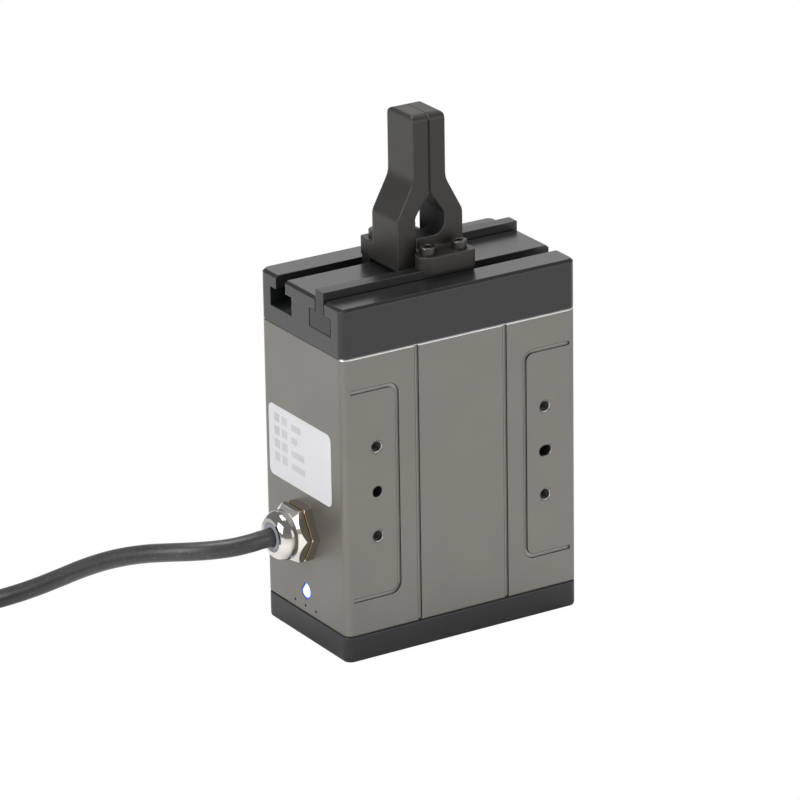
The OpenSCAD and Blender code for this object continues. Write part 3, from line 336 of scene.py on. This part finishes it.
def noise(tree, scale, detail):
    """Noise over the object's own metres."""
    coords = tree.nodes.new("ShaderNodeTexCoord")
    tex = tree.nodes.new("ShaderNodeTexNoise")
    tex.inputs["Scale"].default_value = scale
    tex.inputs["Detail"].default_value = detail
    tree.links.new(coords.outputs["Object"], tex.inputs["Vector"])
    return tex.outputs["Fac"]


def place(tree):
    """The x, y and z of the shaded point, in metres of the shared frame at rest."""
    coords = tree.nodes.new("ShaderNodeTexCoord")
    return split_up(tree, coords.outputs["Object"])


def split_up(tree, vector):
    """The x, y and z of a vector."""
    split = tree.nodes.new("ShaderNodeSeparateXYZ")
    tree.links.new(vector, split.inputs[0])
    return split.outputs["X"], split.outputs["Y"], split.outputs["Z"]


def maths(tree, operation, a, b=None):
    """One Math node; a and b are sockets or numbers."""
    node = tree.nodes.new("ShaderNodeMath")
    node.operation = operation
    for socket, value in zip(node.inputs, (a, b)):
        if value is None:
            continue
        if isinstance(value, (int, float)):
            socket.default_value = value
        else:
            tree.links.new(value, socket)
    return node.outputs[0]


def absolute(tree, value):
    """A value without its sign."""
    return maths(tree, "ABSOLUTE", value)


def off_middle(tree, value, middle):
    """How far a value is from a middle, to either side."""
    return absolute(tree, maths(tree, "SUBTRACT", value, middle))


def distance(tree, a, b):
    """The length of the line that goes a one way and b the other."""
    return maths(tree, "SQRT", maths(tree, "ADD", maths(tree, "MULTIPLY", a, a),
                                     maths(tree, "MULTIPLY", b, b)))


def rise(tree, value, start, end, low=0.0, high=1.0):
    """Low before start and high after end, straight between them."""
    node = tree.nodes.new("ShaderNodeMapRange")
    node.inputs["From Min"].default_value = start
    node.inputs["From Max"].default_value = end
    node.inputs["To Min"].default_value = low
    node.inputs["To Max"].default_value = high
    tree.links.new(value, node.inputs["Value"])
    return node.outputs["Result"]


def inward(tree, value, face, inset):
    """Starts at one distance inside a face and is 1 from the other on."""
    return rise(tree, value, face - inset[0], face - inset[1])


def between(tree, value, start, end, soft):
    """1 from start to end and 0 outside, with a narrow slope at both ends."""
    return all_of(tree, rise(tree, value, start, start + soft), rise(tree, value, end, end - soft))


def all_of(tree, *masks):
    """The product of several masks."""
    out = masks[0]
    for mask in masks[1:]:
        out = maths(tree, "MULTIPLY", out, mask)
    return out


def spread(tree, fac, low, high):
    """Maps a noise to low..high."""
    return rise(tree, fac, NOISE_LOW, NOISE_HIGH, low, high)


def two_tone(tree, fac, dark, light):
    """Mixes two colours by a noise."""
    ramp = tree.nodes.new("ShaderNodeValToRGB")
    first, last = ramp.color_ramp.elements
    first.position, first.color = NOISE_LOW, (*dark, 1)
    last.position, last.color = NOISE_HIGH, (*light, 1)
    tree.links.new(fac, ramp.inputs["Fac"])
    return ramp.outputs["Color"]


def bevel_normal(tree, radius, samples=BEVEL_SAMPLES):
    """The normal with every sharp edge rounded over."""
    bevel = tree.nodes.new("ShaderNodeBevel")
    bevel.samples = samples
    bevel.inputs["Radius"].default_value = radius
    return bevel.outputs["Normal"]


def true_normal(tree):
    """The normal of the solid itself."""
    return tree.nodes.new("ShaderNodeNewGeometry").outputs["True Normal"]


def add_bump(tree, shader, height, strength, depth):
    """Puts a bump on top of what the shader's normal already has."""
    bump = tree.nodes.new("ShaderNodeBump")
    bump.inputs["Strength"].default_value = strength
    bump.inputs["Distance"].default_value = depth
    tree.links.new(height, bump.inputs["Height"])
    socket = shader.inputs["Normal"]
    tree.links.new(socket.links[0].from_socket, bump.inputs["Normal"])
    tree.links.new(bump.outputs["Normal"], socket)


def blend_in(tree, shader, mask, **looks):
    """Mixes second values into the shader's inputs where the mask is 1."""
    for name, value in looks.items():
        blend_one(tree, shader.inputs[INPUT_NAMES[name]], mask, value)


def blend_one(tree, socket, mask, value):
    """Mixes a second colour or number into one input where the mask is 1."""
    is_colour = socket.type == "RGBA"
    kind = "RGBA" if is_colour else "VALUE"
    mix = tree.nodes.new("ShaderNodeMix")
    mix.data_type = "RGBA" if is_colour else "FLOAT"
    ins = [s for s in mix.inputs if s.type == kind and s.name in "AB"]
    if socket.is_linked:
        tree.links.new(socket.links[0].from_socket, ins[0])
    else:
        ins[0].default_value = socket.default_value
    ins[1].default_value = (*value, 1) if is_colour else value
    tree.links.new(mask, mix.inputs[0])
    outs = [s for s in mix.outputs if s.type == kind]
    tree.links.new(outs[0], socket)


def surface(name, colour, metallic, rough, vary, grain, bump, edge, coat=0.0):
    """A finish with slight colour and roughness variation, fine grain and softened edges."""
    mat, tree, shader = new_material(name)
    cloud = noise(tree, CLOUD_SCALE, detail=3)
    fine = noise(tree, grain, detail=4)
    dark = tuple(c * (1 - vary) for c in colour)
    light = tuple(min(1, c * (1 + vary)) for c in colour)
    tree.links.new(two_tone(tree, cloud, dark, light), shader.inputs["Base Color"])
    roughness = spread(tree, fine, rough - ROUGH_SWING, rough + ROUGH_SWING)
    tree.links.new(roughness, shader.inputs["Roughness"])
    shader.inputs["Metallic"].default_value = metallic
    shader.inputs["Coat Weight"].default_value = coat
    shader.inputs["Coat Roughness"].default_value = COAT_ROUGH
    tree.links.new(bevel_normal(tree, edge), shader.inputs["Normal"])
    add_bump(tree, shader, fine, bump, GRAIN_DEPTH)
    return mat


def painted_edge_highlight(mat, colour, rough, radius):
    """Paints a lighter, smoother colour along the edges, as a painted highlight."""
    tree, shader = parts_of(mat)
    turn = tree.nodes.new("ShaderNodeVectorMath")
    turn.operation = "DOT_PRODUCT"
    tree.links.new(bevel_normal(tree, radius), turn.inputs[0])
    tree.links.new(true_normal(tree), turn.inputs[1])
    mask = rise(tree, turn.outputs["Value"], EDGE_HIGHLIGHT_FROM, EDGE_HIGHLIGHT_FULL)
    blend_in(tree, shader, mask, colour=colour, rough=rough)


# ================= housing =================

def machined_housing():
    """Grey anodised housing with painted shade and light in its grooves, a bare top edge, bare metal
    and deeper painted shade in its holes, and painted shade in and round its pinholes.
    """
    mat = surface("anodised_grey", HOUSING_GREY, metallic=0.75, rough=0.42, vary=0.03, grain=3500,
                  bump=0.25, edge=0.0004)
    tree, shader = parts_of(mat)
    where = place(tree)
    low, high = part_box("housing")
    paint_groove_shade_and_light(tree, shader, where, low, high)
    bare_top_edge(tree, shader, where, high)
    shade_holes(tree, shader, where, low)
    # painted shade in and round the pinholes
    blend_in(tree, shader, pinhole_shade(tree, where, low), colour=SHADE_BLACK)
    return mat


def paint_groove_shade_and_light(tree, shader, where, low, high):
    """Painted shade on the rims and walls and painted light on the floor of the grooves in the two
    broad faces.
    """
    x, y, z = where
    depth = maths(tree, "SUBTRACT", high.y, absolute(tree, y))
    corner = (FACE_CORNER, FACE_CORNER + SLOPE)
    flat = all_of(tree, inward(tree, absolute(tree, x), high.x, corner),
                  between(tree, z, low.z + FACE_ENDS, high.z - FACE_ENDS, FINE_SLOPE))
    wall = between(tree, depth, GROOVE_SKIN, GROOVE_DEPTH - GROOVE_SKIN, FINE_SLOPE)
    floor = between(tree, depth, GROOVE_DEPTH - GROOVE_FLOOR_SKIN, GROOVE_DEPTH + GROOVE_FLOOR_SKIN,
                    GROOVE_FLOOR_STEP)
    rim = all_of(tree, rise(tree, depth, *GROOVE_RIM_DEPTH), turned_away(tree, GROOVE_RIM))
    # paints shade on rims turned from the light and on walls, and light on floors
    for mask, colour in ((rim, GROOVE_RIM_SHADE), (wall, GROOVE_WALL_SHADE), (floor, GROOVE_FLOOR_LIGHT)):
        blend_in(tree, shader, all_of(tree, flat, mask), colour=colour)


def turned_away(tree, radius):
    """1 on rounded edges that turn to +X or down, away from the light."""
    x, _, z = split_up(tree, bevel_normal(tree, radius, RIM_SAMPLES))
    start, full = RIM_TURN
    return maths(tree, "MAXIMUM", rise(tree, x, start, full), rise(tree, z, -start, -full))


def bare_top_edge(tree, shader, where, high):
    """Bare metal along the top of the two broad faces."""
    _, y, z = where
    start = high.z - TOP_EDGE
    edge = all_of(tree, rise(tree, z, start, start + TOP_EDGE_STEP),
                  inward(tree, absolute(tree, y), high.y, TOP_EDGE_INSET))
    blend_in(tree, shader, edge, colour=BARE_METAL, rough=BARE_ROUGH, metallic=0.6)


def shade_holes(tree, shader, where, low):
    """Bare metal in the front face's six holes, with painted shade further in, and thread rings in
    four.
    """
    x, y, z = where
    across = maths(tree, "SUBTRACT", absolute(tree, x), HOLE_X)
    from_dowel = off_middle(tree, z, HOLE_MID_Z)
    from_thread = off_middle(tree, from_dowel, HOLE_PITCH_Z)
    reach = distance(tree, across, maths(tree, "MINIMUM", from_dowel, from_thread))
    inside = all_of(tree, rise(tree, reach, *HOLE_RIM),
                    between(tree, y, low.y + HOLE_SKIN, low.y + HOLE_DEEP, HOLE_SKIN_STEP))
    blend_in(tree, shader, inside, colour=BARE_METAL, rough=BARE_ROUGH)
    # painted shade further down the holes
    first, full = HOLE_WALL_DEPTH
    wall = all_of(tree, inside, rise(tree, y, low.y + first, low.y + full))
    blend_in(tree, shader, wall, colour=HOLE_SHADE)
    rings = maths(tree, "SINE", maths(tree, "MULTIPLY", y, 2 * math.pi / THREAD_PITCH))
    threaded = all_of(tree, inside, rise(tree, from_thread, *HOLE_RIM))
    add_bump(tree, shader, maths(tree, "MULTIPLY", rings, threaded), strength=1.0, depth=THREAD_DEPTH)


def pinhole_shade(tree, where, low):
    """1 in and just round the three pinholes of the end face, where painted shade goes."""
    x, y, z = where
    mid_y, mid_z = PINHOLE_MIDDLE
    from_middle = off_middle(tree, y, mid_y)
    from_outer = off_middle(tree, from_middle, PINHOLE_PITCH)
    near = maths(tree, "MINIMUM", from_middle, from_outer)
    reach = distance(tree, near, maths(tree, "SUBTRACT", z, mid_z))
    deepest = low.x + PINHOLE_DEEP
    return all_of(tree, rise(tree, x, deepest, deepest - SLOPE),
                  rise(tree, reach, PINHOLE_RADIUS + PINHOLE_STEP, PINHOLE_RADIUS))


# ================= block, base, sliders, fingers, screws =================

def black_block():
    """Black anodised guide block, with painted shade in its tee slots below their top edges."""
    mat = surface("anodised_black", BLOCK_BLACK, metallic=0.1, rough=0.30, vary=0.08, grain=3000,
                  bump=0.12, edge=0.0004, coat=0.2)
    # painted highlight along the block's edges
    painted_edge_highlight(mat, EDGE_HIGHLIGHT_BLACK, rough=0.25, radius=0.00035)
    tree, shader = parts_of(mat)
    x, y, z = place(tree)
    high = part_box("guide_block")[1]
    slot = all_of(tree, inward(tree, absolute(tree, x), high.x, SLOT_INSET_X),
                  inward(tree, absolute(tree, y), high.y, SLOT_INSET_Y),
                  inward(tree, z, high.z, SLOT_INSET_Z))
    # painted shade in the tee slots
    blend_in(tree, shader, slot, colour=SHADE_BLACK, coat=0.0, rough=HOLLOW_ROUGH)
    return mat


def black_base():
    """Black anodised base plate."""
    mat = surface("base_black", BASE_BLACK, metallic=0.1, rough=0.38, vary=0.08, grain=3000,
                  bump=0.15, edge=0.0004)
    # painted highlight along the base plate's edges
    painted_edge_highlight(mat, EDGE_HIGHLIGHT_BLACK, rough=0.3, radius=0.00035)
    return mat


def dark_slider():
    """Dark steel, with black lines of painted shade round the foot of the end faces, where it runs in
    its slot.
    """
    mat = surface("slider_steel", SLIDER_STEEL, metallic=0.6, rough=0.3, vary=0.06, grain=2500,
                  bump=0.1, edge=0.0003)
    # painted highlight along the slider's edges
    painted_edge_highlight(mat, EDGE_HIGHLIGHT_BLACK, rough=0.25, radius=0.0003)
    tree, shader = parts_of(mat)
    x, y, z = place(tree)
    low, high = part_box("front_slider")
    middle, half = -(low.y + high.y) / 2, (high.y - low.y) / 2
    aside = off_middle(tree, absolute(tree, y), middle)
    side, bottom = half - GAP_LINE, low.z + GAP_LINE
    rim = maths(tree, "MAXIMUM", rise(tree, aside, side, side + GAP_LINE_STEP),
                rise(tree, z, bottom, bottom - GAP_LINE_STEP))
    line = all_of(tree, inward(tree, absolute(tree, x), -low.x, SLIDER_END_INSET),
                  rise(tree, z, SLOT_LIP_Z, SLOT_LIP_Z - SLOPE), rim)
    # painted shade where the slider's end meets its slot
    blend_in(tree, shader, line, colour=SHADE_BLACK, metallic=0.0, rough=0.7)
    return mat


def coated_finger():
    """Dark coated finger, with painted shade, rougher too, in its window and where the jaws meet."""
    mat = surface("finger_coating", FINGER_BROWN, metallic=0.35, rough=0.42, vary=0.06, grain=4000,
                  bump=0.3, edge=0.0009)
    # painted highlight along the finger's edges
    painted_edge_highlight(mat, EDGE_HIGHLIGHT_FINGER, rough=0.3, radius=0.0006)
    tree, shader = parts_of(mat)
    x, y, z = place(tree)
    across = absolute(tree, x)
    window = all_of(tree, rise(tree, across, WINDOW_HALF, WINDOW_HALF - SLOPE),
                    between(tree, z, *WINDOW_Z, WINDOW_STEP_Z),
                    inward(tree, absolute(tree, y), JAW_FACE_Y, JAW_FACE_INSET))
    meeting = all_of(tree, rise(tree, across, *JAW_LINE_HALF),
                     between(tree, z, *JAW_LINE_Z, JAW_LINE_STEP_Z))
    # painted shade in the window and along the jaw line
    dark = maths(tree, "MAXIMUM", window, meeting)
    blend_in(tree, shader, dark, colour=SHADE_BROWN, rough=HOLLOW_ROUGH)
    return mat


def black_screw():
    """Blackened screw with a painted highlight on its rim."""
    mat = surface("screw_black", SCREW_BLACK, metallic=0.9, rough=0.36, vary=0.1, grain=4000,
                  bump=0.15, edge=0.0003)
    # painted highlight along the rim and the other edges
    painted_edge_highlight(mat, SCREW_RIM_HIGHLIGHT, rough=0.22, radius=0.00035)
    return mat


# ================= gland, cable jacket, light =================

def plated_gland():
    """Polished nickel, with painted darker reflections on its rougher front flats and its dome, and
    bronze at the hexagons' gap.
    """
    mat = surface("nickel", NICKEL, metallic=1.0, rough=0.09, vary=0.02, grain=900, bump=0.02,
                  edge=0.00035)
    tree, shader = parts_of(mat)
    x, _, z = place(tree)
    along, front, _ = split_up(tree, true_normal(tree))
    flats = all_of(tree, rise(tree, front, *FLAT_FRONT),
                   rise(tree, absolute(tree, along), *FLAT_LEVEL))
    # painted darker reflection on the flats that face the front
    blend_in(tree, shader, flats, colour=FLAT_REFLECTION_NICKEL, rough=0.2)
    dome = all_of(tree, rise(tree, x, DOME_END, DOME_END - DOME_STEP),
                  rise(tree, z, *DOME_MIDDLE))
    # painted dark reflection on the upper half of the dome
    blend_in(tree, shader, dome, colour=DOME_REFLECTION_NICKEL)
    gap_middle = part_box("gland_nut")[1].x + HEXAGON_GAP / 2
    at_gap = rise(tree, off_middle(tree, x, gap_middle), *BRONZE_REACH)
    blend_in(tree, shader, at_gap, colour=BRONZE)
    return mat


def scuffed_jacket():
    """Black cable jacket with fine pale scuffs and a slight waviness."""
    mat = surface("cable_jacket", JACKET, metallic=0.0, rough=0.38, vary=0.20, grain=900,
                  bump=0.25, edge=0.0001)
    tree, shader = parts_of(mat)
    specks = rise(tree, noise(tree, SCUFF_SCALE, detail=5), *SCUFF_RANGE)
    blend_in(tree, shader, specks, colour=JACKET_SCUFF)
    add_bump(tree, shader, noise(tree, WAVE_SCALE, detail=2), WAVE_STRENGTH, WAVE_DEPTH)
    return mat


def lit_window():
    """The status window, lit from behind: pale in the middle and deep blue at the rim."""
    mat, tree, shader = new_material("lens_glow")
    _, y, z = place(tree)
    mid_y, mid_z = LENS_MIDDLE
    dy = maths(tree, "SUBTRACT", y, mid_y)
    dz = maths(tree, "SUBTRACT", z, mid_z)
    to_flat = maths(tree, "ADD", maths(tree, "MULTIPLY", dy, math.cos(LENS_FLAT_TURN)),
                    maths(tree, "MULTIPLY", dz, math.sin(LENS_FLAT_TURN)))
    rim = maths(tree, "MAXIMUM",
                rise(tree, distance(tree, dy, dz), LENS_RADIUS - LENS_RIM, LENS_RADIUS),
                rise(tree, to_flat, LENS_FLAT - LENS_FLAT_RIM, LENS_FLAT))
    colour = lens_colour(tree, rim)
    tree.links.new(colour, shader.inputs["Emission Color"])
    tree.links.new(colour, shader.inputs["Base Color"])
    power = rise(tree, rim, 0.0, 1.0, *LENS_POWER)
    tree.links.new(power, shader.inputs["Emission Strength"])
    shader.inputs["Roughness"].default_value = 0.25
    return mat


def lens_colour(tree, rim):
    """The window's colour, from 0 in its middle to 1 at its rim."""
    ramp = tree.nodes.new("ShaderNodeValToRGB")
    stops = ramp.color_ramp.elements
    stops[0].position, stops[0].color = LENS_COLOURS[0]
    stops[1].position, stops[1].color = LENS_COLOURS[-1]
    for where, colour in LENS_COLOURS[1:-1]:
        stops.new(where).color = colour
    tree.links.new(rim, ramp.inputs["Fac"])
    return ramp.outputs["Color"]


def led_glow():
    """The lit diode behind the window, slightly uneven."""
    mat, tree, shader = new_material("led_glow")
    shader.inputs["Base Color"].default_value = (*LED_WHITE, 1)
    shader.inputs["Emission Color"].default_value = (*LED_WHITE, 1)
    power = spread(tree, noise(tree, LED_CLOUD_SCALE, detail=2), *LED_POWER)
    tree.links.new(power, shader.inputs["Emission Strength"])
    shader.inputs["Roughness"].default_value = 0.3
    return mat


# ================= materials =================

def materials():
    """Every finish by name."""
    finishes = {name: surface(*values) for name, values in PLAIN_FINISHES.items()}
    finishes["housing"] = machined_housing()
    finishes["block"] = black_block()
    finishes["base"] = black_base()
    finishes["slider"] = dark_slider()
    finishes["finger"] = coated_finger()
    finishes["screw"] = black_screw()
    finishes["nickel"] = plated_gland()
    finishes["jacket"] = scuffed_jacket()
    finishes["lens"] = lit_window()
    finishes["led"] = led_glow()
    return finishes


def dress(obj, mat):
    """Puts one material on a piece."""
    obj.data.materials.clear()
    obj.data.materials.append(mat)


def dress_nodes(finishes):
    """Puts its finish on each node that FINISH_OF lists."""
    for finish, names in FINISH_OF.items():
        for name in names:
            dress(NODES[name], finishes[finish])


# ================= new objects =================

def in_scene(name, data):
    """A new object of the scene that holds a mesh, curve, lamp or camera."""
    obj = bpy.data.objects.new(name, data)
    bpy.context.scene.collection.objects.link(obj)
    return obj


def new_mesh(name, verts, faces):
    """A mesh from corner points and faces."""
    mesh = bpy.data.meshes.new(name)
    mesh.from_pydata(verts, [], faces)
    return mesh


# ================= cable =================

def smooth_points(points, per_span=6):
    """Catmull-Rom points through a route, ends included."""
    pts = [Vector(p) for p in points]
    pts = [2 * pts[0] - pts[1]] + pts + [2 * pts[-1] - pts[-2]]
    out = []
    for i in range(1, len(pts) - 2):
        a, b, c, d = pts[i - 1:i + 3]
        for k in range(per_span):
            t = k / per_span
            out.append(0.5 * (2 * b + (c - a) * t + (2 * a - 5 * b + 4 * c - d) * t * t
                              + (3 * b - a - 3 * c + d) * t ** 3))
    return out + [pts[-2]]


def coil_points(start, end):
    """Turns from the route's end to the tail's start: inwards on the floor, outwards on top."""
    centre = Vector((*COIL_CENTRE, 0))
    first = math.atan2(start.y - centre.y, start.x - centre.x)
    last = math.atan2(end.y - centre.y, end.x - centre.x)
    turns = TURNS_PER_LAYER * COIL_LAYERS - ((first - last) / (2 * math.pi) % 1)
    width = CABLE_DIAMETER * (TURNS_PER_LAYER - 1)
    outer = COIL_MEAN_RADIUS + width / 2
    low, high = CABLE_DIAMETER / 2, CABLE_DIAMETER * (COIL_LAYERS - 0.5)
    count = int(turns * STEPS_PER_TURN)
    points = []
    for i in range(count + 1):
        t = turns * i / count
        angle = first + 2 * math.pi * t
        lane = step_between_lanes(min(t, turns - t))
        radius = max(outer - width, outer - CABLE_DIAMETER * lane)
        height = low + (high - low) * smoothstep(t - turns / 2 + 0.5)
        points.append(centre + Vector((radius * math.cos(angle), radius * math.sin(angle), height)))
    return points


def smoothstep(t):
    """0 up to 0 and 1 from 1 on, with a soft rise between them."""
    t = min(1, max(0, t))
    return t * t * (3 - 2 * t)


def step_between_lanes(t):
    """Whole lanes, with the change from one to the next in the last third of each turn."""
    whole = math.floor(t)
    return whole + smoothstep((t - whole - LANE_CHANGE_START) / (1 - LANE_CHANGE_START))


def make_cable(finish, seal):
    """The cable from the gland through the coil to its bare end, as one cord."""
    route = smooth_points(CABLE_ROUTE)
    tail = smooth_points(TAIL_ROUTE)
    points = route[:-1] + coil_points(route[-1], tail[0])[:-1] + tail
    curve = bpy.data.curves.new("cable_run", "CURVE")
    curve.dimensions = "3D"
    curve.bevel_depth = CABLE_DIAMETER / 2
    curve.bevel_resolution = 6
    curve.use_fill_caps = True
    spline = curve.splines.new("POLY")
    spline.points.add(len(points) - 1)
    for p, co in zip(spline.points, points):
        p.co = (*co, 1)
    obj = in_scene("cable_run", curve)
    dress(obj, finish)
    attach(obj, "body")
    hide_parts("cable", "cable_coil", "cable_tail")


# ================= gland seal =================

def revolve(name, profile, axis_y, axis_z, sides, finish):
    """A closed ring turned round a line along X; profile is (x, radius) points."""
    count = len(profile)
    verts, faces = [], []
    for i in range(sides):
        a = 2 * math.pi * i / sides
        verts += [(x, axis_y + r * math.cos(a), axis_z + r * math.sin(a)) for x, r in profile]
    for i in range(sides):
        j = (i + 1) % sides
        for k in range(count):
            m = (k + 1) % count
            faces.append((i * count + k, i * count + m, j * count + m, j * count + k))
    mesh = new_mesh(name, verts, faces)
    for poly in mesh.polygons:
        poly.use_smooth = True
    obj = in_scene(name, mesh)
    dress(obj, finish)
    return obj


def make_seal(finish):
    """The rubber seal with a rounded lip that laps over the nut's nose round the cable."""
    low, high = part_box("gland_seal")
    mid_y, mid_z = (low.y + high.y) / 2, (low.z + high.z) / 2
    lip_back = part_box("gland_nut")[0].x - LIP_GAP
    inner = CABLE_DIAMETER / 2 + SEAL_CLEAR
    along, across = MOUTH_CHAMFER
    front, side = (SEAL_LIP_RADIUS - cut for cut in LIP_CHAMFER)
    profile = [(high.x, inner), (low.x + along, inner), (low.x, inner + across),
               (low.x, front), (low.x + LIP_EDGE, side),
               (lip_back, SEAL_LIP_RADIUS), (lip_back, SEAL_RADIUS), (high.x, SEAL_RADIUS)]
    seal = revolve("seal_ring", profile, mid_y, mid_z, SEAL_SIDES, finish)
    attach(seal, "body")
    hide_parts("gland_seal")
    return seal


# ================= label =================

def rounded_outline(low, high, radius, steps=8):
    """Rectangle with round corners, anticlockwise; low and high are its (y, z) spans."""
    (y0, y1), (z0, z1) = low, high
    corners = [(y1 - radius, z1 - radius, 0), (y0 + radius, z1 - radius, 90),
               (y0 + radius, z0 + radius, 180), (y1 - radius, z0 + radius, 270)]
    out = []
    for y, z, start in corners:
        for i in range(steps + 1):
            a = math.radians(start + 90 * i / steps)
            out.append((y + radius * math.cos(a), z + radius * math.sin(a)))
    return out


def plate(name, outline, x, thickness, finish):
    """A thin sheet standing on the end face, proud to -X."""
    count = len(outline)
    verts = [(x, y, z) for y, z in outline] + [(x - thickness, y, z) for y, z in outline]
    sides = [(i, (i + 1) % count, count + (i + 1) % count, count + i) for i in range(count)]
    faces = [tuple(range(count)), tuple(range(2 * count - 1, count - 1, -1))] + sides
    mesh = new_mesh(name, verts, faces)
    mesh.validate()
    obj = in_scene(name, mesh)
    dress(obj, finish)
    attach(obj, "body")


def make_label(finishes):
    """A plain plate with four rows of grey bars in the place of its print."""
    face_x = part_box("housing")[0].x
    plate("label", rounded_outline(LABEL_Y, LABEL_Z, LABEL_CORNER), face_x, LABEL_PROUD,
          finishes["label"])
    ink_x = face_x - LABEL_PROUD
    for row, widths in enumerate(BAR_WIDTHS):
        for column, width in enumerate(widths):
            top = LABEL_Z[1] - BAR_TOP[column] - row * BAR_PITCH
            y1 = LABEL_Y[1] - BAR_LEFT[column]
            outline = rounded_outline((y1 - width, y1), (top - BAR_HEIGHT[column], top), BAR_CORNER,
                                      BAR_CORNER_STEPS)
            plate(f"label_bar_{row + 1}_{column + 1}", outline, ink_x, INK_PROUD, finishes["ink"])


# ================= stage =================

def make_floor():
    """A pale floor that the camera sees as plain white."""
    half = FLOOR_SIZE / 2
    corners = [(-half, -half, 0), (half, -half, 0), (half, half, 0), (-half, half, 0)]
    floor = in_scene("floor", new_mesh("floor", corners, [(0, 1, 2, 3)]))
    mat, tree, shader = new_material("floor_white")
    shader.inputs["Base Color"].default_value = (FLOOR_GREY, FLOOR_GREY, FLOOR_GREY, 1)
    shader.inputs["Roughness"].default_value = 0.9
    white = tree.nodes.new("ShaderNodeEmission")
    white.inputs["Color"].default_value = (1, 1, 1, 1)
    path = tree.nodes.new("ShaderNodeLightPath")
    mix = tree.nodes.new("ShaderNodeMixShader")
    out = next(n for n in tree.nodes if n.type == "OUTPUT_MATERIAL")
    tree.links.new(path.outputs["Is Camera Ray"], mix.inputs["Fac"])
    tree.links.new(shader.outputs["BSDF"], mix.inputs[1])
    tree.links.new(white.outputs["Emission"], mix.inputs[2])
    tree.links.new(mix.outputs["Shader"], out.inputs["Surface"])
    dress(floor, mat)


def make_lamp(name, at, size, power):
    """A square area lamp that looks at the middle of the gripper."""
    data = bpy.data.lights.new(name, "AREA")
    data.energy = power
    data.shape = "SQUARE"
    data.size = size
    lamp = in_scene(name, data)
    lamp.location = at
    lamp.rotation_mode = "QUATERNION"
    lamp.rotation_quaternion = (Vector(LAMP_AIM) - Vector(at)).to_track_quat("-Z", "Y")


def make_sky():
    """Soft light from all round, which the camera sees as plain white."""
    world = bpy.data.worlds.new("studio")
    bpy.context.scene.world = world
    world.use_nodes = True
    tree = world.node_tree
    sky = tree.nodes["Background"]
    sky.inputs["Color"].default_value = (1, 1, 1, 1)
    seen = tree.nodes.new("ShaderNodeLightPath").outputs["Is Camera Ray"]
    power = maths(tree, "ADD", maths(tree, "MULTIPLY", seen, 1 - SKY_LIGHT), SKY_LIGHT)
    tree.links.new(power, sky.inputs["Strength"])


def make_camera():
    """The camera that stands as the photograph's did."""
    a, e, roll = (math.radians(v) for v in (CAMERA_AZIMUTH, CAMERA_ELEVATION, CAMERA_ROLL))
    back = Vector((math.sin(a) * math.cos(e), -math.cos(a) * math.cos(e), math.sin(e)))
    level = Vector((math.cos(a), math.sin(a), 0))
    right = math.cos(roll) * level + math.sin(roll) * back.cross(level)
    up = back.cross(right)
    data = bpy.data.cameras.new("camera")
    data.sensor_width = SENSOR_WIDTH
    data.lens = CAMERA_LENS
    data.clip_end = CAMERA_REACH
    cam = in_scene("camera", data)
    turn = Matrix((right, up, back)).transposed().to_4x4()
    cam.matrix_world = Matrix.Translation(Vector(CAMERA_AIM) + back * CAMERA_DISTANCE) @ turn
    bpy.context.scene.camera = cam


bpy.context.scene.view_settings.view_transform = "Standard"
make_camera()
FINISHES = materials()
dress_nodes(FINISHES)
make_cable(FINISHES["jacket"], make_seal(FINISHES["gland_rubber"]))
make_label(FINISHES)
make_floor()
for lamp in LAMPS:
    make_lamp(*lamp)
make_sky()
